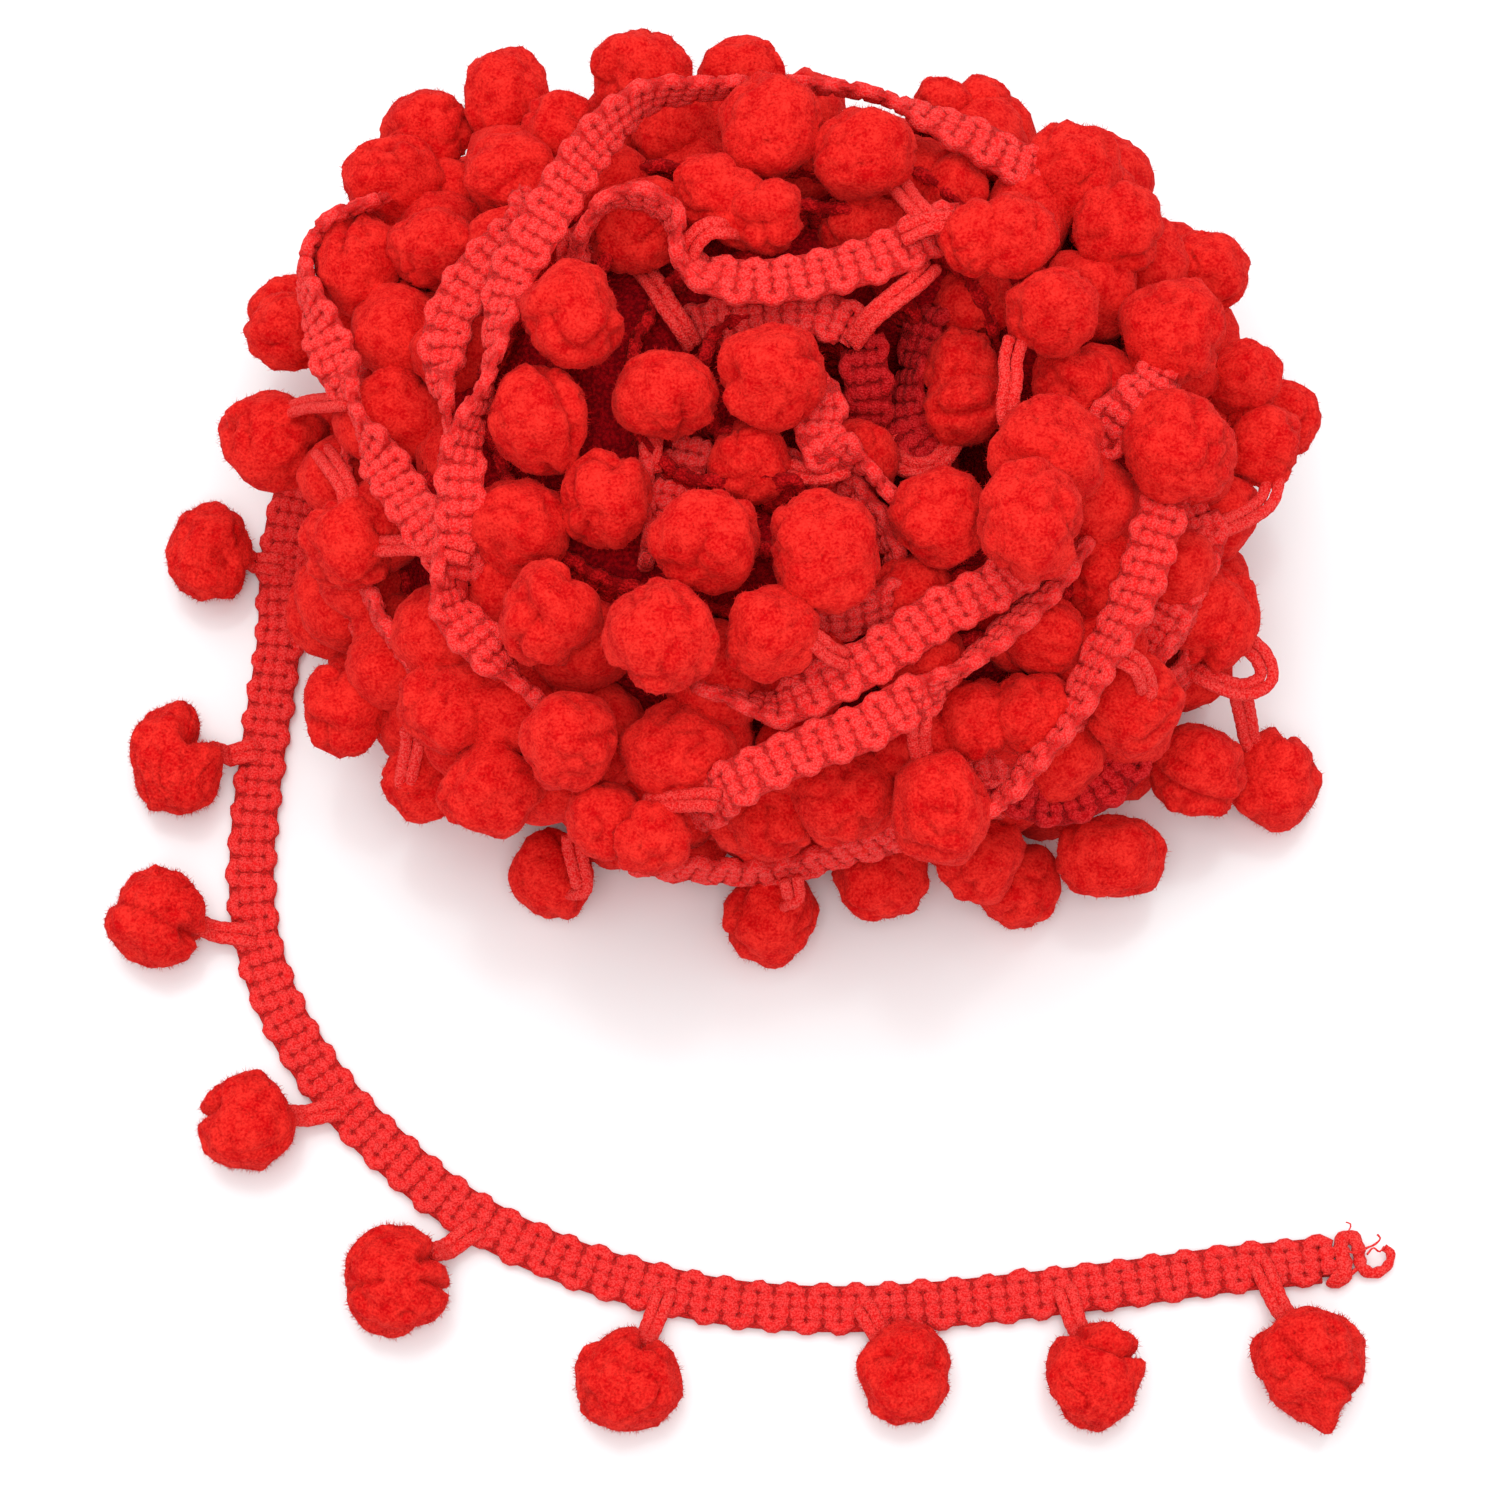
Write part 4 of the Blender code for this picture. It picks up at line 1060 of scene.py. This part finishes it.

# %% [markdown]
# ## Outermost turns of the heap
#
# These strands are what the eye follows over the heap.  They twist as they go: ribs up where they
# lie flat, and a thin scalloped line where they stand on edge or roll over.  A simulation could drop
# them on the heap, but then they would lie where they like.  So their points are listed one by one, as
# x, y, z and lean, and the ends of each strand hide in pompoms or under its neighbours.

# %% Outermost places
HEAP_TURNS = {
    "over the crown": (
        (-30.8, -18, 28.5, 25), (-31.2, -18.6, 33, 25), (-31, -19, 37, 20), (-30.5, -16.5, 40, 0),
        (-30.5, -14, 42, 0), (-30.5, -11, 43, 10), (-30, -7, 44, 65), (-28, -3, 46, 95),
        (-27, 2, 47, 122), (-26, 6.5, 48, 165), (-24, 10, 49, 186), (-21.4, 15.2, 48.5, 198),
        (-19.9, 18.2, 48, 206), (-18.2, 21.6, 47, 218), (-15.9, 25.1, 45.5, 238),
        (-12.7, 28.4, 44, 262), (-7.5, 29.9, 42.5, 278), (0, 30.7, 42, 288), (5.5, 30.3, 42, 290),
        (8, 29.9, 42, 291), (11, 29.4, 41, 296), (13.5, 28.1, 41, 315), (18.5, 25.5, 41, 345),
        (24.5, 23, 39, 358), (27.5, 23.5, 37.5, 358)),
    "crown left": (
        (-24.8, 21.5, 37.2, -35), (-24.3, 19, 38.8, -32), (-24.5, 16.5, 40, -30),
        (-27, 12.5, 43, -10), (-30, 9, 43, 0), (-32, 5.5, 42, 0), (-32.5, 2, 41, 20),
        (-32.5, -1, 41, 70), (-32, -3.5, 40, 92), (-31.5, -6, 38, 90), (-31, -7, 34.5, 90),
        (-30.8, -6.5, 31.5, 90)),
    "left flank": (
        (-38.5, 27.2, 26, 60), (-40.5, 23.9, 29.6, 60), (-43, 21.6, 32.4, 70), (-45, 20.5, 32, 80),
        (-46.5, 18.5, 31, 85), (-47.5, 16.5, 30, 78), (-46.5, 12.5, 31, 70), (-45.5, 9.5, 32, 46),
        (-44, 5.5, 33, 4), (-42.5, 2, 34, 58), (-41.5, -0.5, 34, 94), (-40.2, -4, 35, 75),
        (-38.5, -7, 36, 20), (-36.5, -10.5, 37, 0), (-35, -13, 38, 15), (-33.5, -16, 38, 50),
        (-32.5, -19, 38, 95), (-31.5, -22.5, 37, 150), (-28.5, -26, 37, 180), (-26, -28.5, 36, 120),
        (-23.5, -30.5, 34, 95), (-21.3, -33.5, 35.5, 95)),
    "crown arch": (
        (-19.4, 13, 36.5, -50), (-19.5, 12.5, 40, -50), (-19.5, 13.2, 43, -55),
        (-18.5, 13.8, 46, -62), (-17, 14.8, 48, -75), (-14.5, 15.3, 49, -85),
        (-11.5, 14.4, 49, -95), (-10.3, 13.2, 48, -100), (-10, 11.2, 47, -80), (-9, 9.5, 46, -45),
        (-6, 8, 46, -12), (-2.5, 7.5, 46, 0), (2, 8, 46, 0), (6, 9, 46, 0), (10.5, 10.5, 46, 5),
        (14, 13, 45, 25), (16.6, 14.6, 44, 50), (18.4, 13.6, 45, 60)),
    "front upper": (
        (-8.5, -29.5, 36, -70), (-6.5, -31, 38, -60), (-3.5, -32, 38, -55), (-1, -33, 38, -35),
        (1, -32.5, 39, -5), (4.5, -31, 40, 5), (8, -29.5, 41, 5), (11.5, -27, 41, 5),
        (15, -24.5, 41, 5), (19, -22.5, 41, 5), (22.5, -20, 41, 10), (24.2, -18, 39.5, 12),
        (25, -16, 36.5, 15), (25.2, -14.5, 32, 15)),
    "front lower": (
        (-8.8, -38.8, 34, 60), (-6.5, -41, 34, 55), (-5.5, -41, 38, 15), (-3.5, -40.5, 40, 0),
        (0.5, -38.5, 40, 0), (4, -37, 40, 0), (8, -35.5, 40, 0), (11, -33.5, 40, 10),
        (14, -32, 40, 60), (16.5, -30, 40, 105), (19.5, -27.5, 40, 122), (22.5, -24.5, 40, 130),
        (25, -21.5, 39, 130), (27.5, -18, 38, 120), (28.2, -16.2, 35, 115), (28.2, -14.6, 31, 112)),
    "right front": (
        (37.5, -9, 37, 20), (37, -12, 38, 5), (35.5, -16, 38, 0), (34.5, -19.5, 38, 10),
        (32.5, -24, 38, 25), (30.5, -27, 37, 38), (29, -30, 36, 46), (27, -33, 35, 50),
        (24.5, -36, 34, 56), (22, -39, 32, 64), (19.3, -41, 31, 70), (17, -41.8, 30.5, 75)),
    "front foot": (
        (-14.5, -37.8, 20, 80), (-15, -39.7, 18.5, 80), (-14, -41, 17, 80), (-11, -41, 14, 85),
        (-8, -41, 13, 85), (-4.5, -41, 12, 85), (-1, -41, 12, 85), (2.5, -40.5, 13, 82),
        (7, -39.5, 15, 78), (11, -39, 17, 70), (12.8, -37.7, 19, 68), (14, -36.5, 20.5, 65)),
    "right back": (
        (40.3, -8, 27.6, 185), (41.5, -11.5, 28, 185), (40, -15, 28, 180), (38, -19, 28, 178),
        (36, -22, 27, 175), (34.6, -25.2, 27, 175)),
    "right foot": (
        (17.3, -35.7, 23.5, 60), (20, -36, 24, 60), (22.5, -36, 23, 30), (24.5, -36.5, 22, 15),
        (27, -36.5, 20, 0), (30, -35.5, 20, 0), (33.5, -33, 20, 10), (34.5, -30.5, 20.2, 10)),
    "under the arch": (
        (-17, 8, 31, 40), (-14, 7.5, 32, 30), (-10.5, 6.5, 35, 30), (-8, 6.3, 38, 30),
        (-5.5, 6, 40, 25), (-2.5, 6, 41.5, 15), (0.5, 6, 42.5, 0), (3, 6, 42.5, 0),
        (5.5, 5.3, 42, 10), (7.5, 4.3, 41, 40)),
    "hollow left": (
        (8, 5, 40, 0), (8, 2.5, 39, 0), (8.5, 0, 37, 0), (8.5, -2, 33, 0), (8.6, -0.8, 28.5, 0),
        (8.7, 0.5, 24, 0)),
    "hollow right": (
        (16.8, 9.7, 36.2, 40), (14.5, 9, 36, 40), (13.8, 6.5, 35, 20), (13, 4, 34, 60),
        (12.2, 0, 33, 30), (13, -3, 33, 0), (15.5, -5.5, 33, 30), (16.3, -4.8, 29, 30),
        (16.5, -3.8, 24, 30)),
    "hollow front": (
        (1, -2, 43.5, 10), (4, -3, 42, 10), (3.5, -6, 43, 0), (4, -8.5, 43, 10), (6.5, -9, 42, 80),
        (8.5, -10, 41, 106), (10.5, -12, 40, 112), (13, -14, 40.5, 115)),
    "hollow deep": (
        (-1, -8.7, 37.5, 15), (2.5, -9, 37, 20), (5, -10.3, 37.5, 40), (7.5, -11.9, 37.5, 60),
        (9.5, -14.3, 37, 75), (11, -17.2, 36, 80), (12, -19.2, 35.5, 80)),
    "crown gap": (
        (-12, -4.5, 39, 85), (-12.5, -7.2, 39, 88), (-13, -11, 38.8, 90), (-12.6, -14.8, 38.5, 90),
        (-13, -18.9, 38.2, 85)),
    "crown gap face": (
        (-8.6, -5.5, 38.6, 10), (-9.3, -8.2, 38.8, 5), (-10.2, -11.2, 38.6, 0),
        (-11.2, -14.7, 38, 0)),
    "front gap": (
        (1.2, -26, 36.5, 50), (2.3, -24.8, 38.6, 50), (3.8, -24.3, 39, 55), (6, -24.2, 39, 55),
        (8, -23.6, 39, 55), (9.8, -22.8, 38.6, 50), (11.8, -21.6, 37.5, 50)),
    "right gap": (
        (29.3, -3.5, 37.5, 20), (31, -5.5, 38, 20), (32, -4, 40, 20), (33.5, -3, 41, 10),
        (36, -0.5, 40, 0), (37.2, 1.8, 39, 0)),
}
print("strands placed by hand:", len(HEAP_TURNS))

# %% [markdown]
# All of them are woven by the helper of the loose end.  The three named below, deep in the hollow or
# low at the foot, get the finish with painted shade and are a piece of their own; the others get the
# one with painted light.

# %% Outermost turns
SHADED_TURNS = ("right foot", "hollow left", "hollow right")
OUTER_SIDES = 8
OUTER_SEED = 200

outer_parts = []
shaded_parts = []
for number, (name, rows) in enumerate(HEAP_TURNS.items()):
    rng = np.random.default_rng(OUTER_SEED + number)
    strand = braid(rows, FINE_STOPS, OUTER_SIDES, rng)
    if name in SHADED_TURNS:
        shaded_parts += strand
    else:
        outer_parts += strand
# The others get the paler finish, painted light.
heap_pieces.append(make_piece("heap_turns_outer", outer_parts, painted_light_turn_yarn))
# These three strands get the finish with painted shade.
heap_pieces.append(make_piece("heap_turns_shaded", shaded_parts, shaded_yarn))

# %% [markdown]
# ## Loops of the heap
#
# Between the pompoms short twin cords cross from a strand to its ball.  Every pompom could have one,
# but most of them would be hidden in felt, so only those that show are made, with the helper of the
# loose end's loops.

# %% Heap loops
HEAP_LOOPS = {
    "crown, to the left": (
        (-29.5, -18.5, 41), (-32.5, -17, 39), (-35.5, -15.5, 36), (-38.5, -14.5, 33),
        (-40.3, -13.7, 31.5)),
    "left flank": ((-42, 0, 35), (-44.5, 1.5, 31), (-47, 3, 27), (-49.5, 4, 23)),
    "left slope": ((-45.5, -1.5, 26), (-44, -4.5, 29), (-42.5, -7.5, 31), (-42, -10, 32)),
    "crown arch": (
        (-9.3, 10, 45.5), (-8.4, 11.2, 47.3), (-7, 12.2, 48), (-5.5, 12.5, 47.5), (-4.3, 13.2, 45.5)),
    "under the arch": (
        (-14, 15.5, 35), (-13.5, 12.5, 38.5), (-12.2, 9.8, 40.5), (-11, 7.3, 41.2), (-9.6, 5.2, 41),
        (-8.5, 4, 39)),
    "hollow": (
        (14.5, 10.5, 43.5), (13, 8.2, 45), (10.7, 6.2, 45), (8.6, 4.7, 44), (6.8, 3.2, 41.5)),
    "front upper": ((6, -29.5, 42), (4.5, -29.5, 44), (3, -29, 46), (1.5, -29, 47)),
    "front lower, left": ((-6, -42.5, 39), (-7.5, -42, 38), (-10, -41.5, 36), (-13, -41, 34)),
    "front lower": ((13, -33, 39), (13, -34.5, 38), (13, -35.5, 36), (13.5, -37, 34)),
    "right front": (
        (30.5, -25.5, 37), (32, -27, 37), (34, -28, 36), (35, -29, 33), (34.8, -29.2, 30.5)),
    "right outer": (
        (49.2, -2.5, 24), (48.4, -6, 24.4), (46, -8.5, 26), (42.5, -11, 28), (39.5, -14, 30)),
    "right foot curl": (
        (46, -18.5, 18), (48, -20, 17), (48.5, -22, 16), (46, -23.5, 17), (42.6, -22.9, 18.6),
        (40.5, -20.8, 16.8)),
    "right foot": (
        (46, -23, 15), (46.5, -24, 13), (47, -25, 11), (47.5, -26, 9), (48.8, -27.5, 7.3)),
    "foot": (
        (1, -42.5, 15), (1.2, -43.2, 14), (1.3, -43.7, 12.5), (0.8, -43.5, 10.5), (0.2, -43.2, 8.5)),
    "crown": ((-12.5, -6, 40), (-12.5, -7.5, 41), (-12.5, -8.5, 41), (-12.5, -9.5, 40)),
    "left foot": (
        (-36, -30, 24), (-36, -31, 22.5), (-36.5, -32.5, 20.5), (-36.9, -33.8, 18.4),
        (-36.2, -33.2, 16.5)),
    "left foot, hanging": (
        (-20.5, -37.5, 13), (-20.5, -38.5, 12), (-20, -40.5, 11), (-19.8, -41.8, 9.3),
        (-21, -41.2, 6.8)),
    "back": ((10.8, 21, 42), (12, 18.2, 43.5), (13, 15.5, 46), (14.5, 13.5, 47), (16.3, 12.7, 47)),
    "crown, to the right": ((11.5, 12, 47), (14, 12.7, 48), (16.5, 13, 48)),
    "hollow right": (
        (12.2, -2.5, 32.5), (11.2, -4.6, 33), (11.6, -6.2, 34), (13, -7.1, 34.8), (14.8, -6.9, 35),
        (16.2, -5.2, 34.6), (17.2, -3.2, 34.8)),
    "hollow front": (
        (-1.5, -9, 39.5), (0.8, -9.6, 40.5), (2.4, -10.2, 41), (4.4, -10.3, 41.3), (6.3, -9.6, 41.2)),
    "crown right": (
        (22.5, 2.5, 44), (21.9, 0.1, 44.2), (21.9, -2, 44.5), (21.6, -3.9, 44), (21.6, -5.4, 43.4),
        (22.6, -7, 43)),
}
HEAP_LOOP_SPREAD = 1.0
HEAP_LOOP_SEED = 300

parts = []
for number, rows in enumerate(HEAP_LOOPS.values()):
    rng = np.random.default_rng(HEAP_LOOP_SEED + number)
    parts += twin_cord(rows, SEWN_SPREAD, HEAP_LOOP_SPREAD, rng)
heap_pieces.append(make_piece("heap_loop_cords", parts, cord_yarn))

# %% [markdown]
# ## Inside of the heap
#
# Through the gaps the eye meets more turns, deep in red shade.  Filling the whole heap with trim
# would cost many faces that nobody sees, so a closed form of plain ovals stops the view, and its
# finish is painted shade, a nearly black red.  The crown has a hollow right of its middle, and the
# form dips with it.

# %% Inner form
CORE_OVAL = {"z": 0, "half_x": 41, "back": 34, "front": 33}
CORE_PROFILE = (
    {"share": 0.02, "z": 0.3}, {"share": 0.9, "z": 0.3}, {"share": 1.0, "z": 4},
    {"share": 1.0, "z": 12}, {"share": 0.98, "z": 20}, {"share": 0.93, "z": 26},
    {"share": 0.84, "z": 31}, {"share": 0.72, "z": 35}, {"share": 0.58, "z": 37},
    {"share": 0.42, "z": 38}, {"share": 0.25, "z": 38}, {"share": 0.02, "z": 38},
)
CROWN_DIP = {"x": 12, "y": -4, "z": 40, "half_x": 14, "half_y": 14, "half_z": 24}
DIP_ABOVE = 19
CORE_CORNERS = 60


def dip(x, y, z):
    """The height z lowered to the bottom of the crown's hollow where it is inside it."""
    off_x = (x - CROWN_DIP["x"]) / CROWN_DIP["half_x"]
    off_y = (y - CROWN_DIP["y"]) / CROWN_DIP["half_y"]
    inside = 1 - off_x ** 2 - off_y ** 2
    if inside <= 0:
        return z
    return min(z, CROWN_DIP["z"] - CROWN_DIP["half_z"] * math.sqrt(inside))


def core_height(share):
    """The inner form's height where its ovals have shrunk to a share of the widest."""
    rows = [row for row in reversed(CORE_PROFILE) if row["z"] > DIP_ABOVE]
    return float(np.interp(share, [row["share"] for row in rows], [row["z"] for row in rows]))


verts = []
for row in CORE_PROFILE:
    for bearing in range(0, 360, 360 // CORE_CORNERS):
        x, y, _ = oval_point(CORE_OVAL, bearing, row["share"])
        verts.append((x, y, dip(x, y, row["z"]) if row["z"] > DIP_ABOVE else row["z"]))
faces = ring_faces(len(CORE_PROFILE), CORE_CORNERS, turned=True)
core_parts = [(np.array(verts), faces)]
# The inner form's finish is painted shade.
heap_pieces.append(make_piece("heap_inner_form", core_parts, shade_yarn))

# %% [markdown]
# Turns of braid on edge lie over the inner form in growing ovals and follow its dip.  They are what
# shows deep in the gaps, and they are woven as coarsely as the flank's turns.  Their finish is
# painted shade, a darker red.

# %% Inner turns
INNER_SHARES = (0.2, 0.36, 0.52, 0.68, 0.83, 0.97)
INNER_STEP = 15
INNER_RISE = 1.0
INNER_LEAN = 85
INNER_SPREAD = {"share": 0.02, "height": 0.8, "lean": 14}
INNER_SEED = 400

parts = []
for number, share in enumerate(INNER_SHARES):
    rng = np.random.default_rng(INNER_SEED + number)
    rows = []
    for bearing in range(0, 360, INNER_STEP):
        x, y, _ = oval_point(CORE_OVAL, bearing, share * rng.normal(1, INNER_SPREAD["share"]))
        height = dip(x, y, core_height(share)) + INNER_RISE + rng.normal(0, INNER_SPREAD["height"])
        rows.append((x, y, height, INNER_LEAN + rng.normal(0, INNER_SPREAD["lean"])))
    parts += braid(rows, COARSE_STOPS, COARSE_SIDES, rng)
# These turns get the darker finish, painted shade.
heap_pieces.append(make_piece("heap_turns_inner", parts, painted_shade_inner_yarn))

for piece in heap_pieces:
    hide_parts("wound_heap")
print("pieces of the heap:", len(heap_pieces))
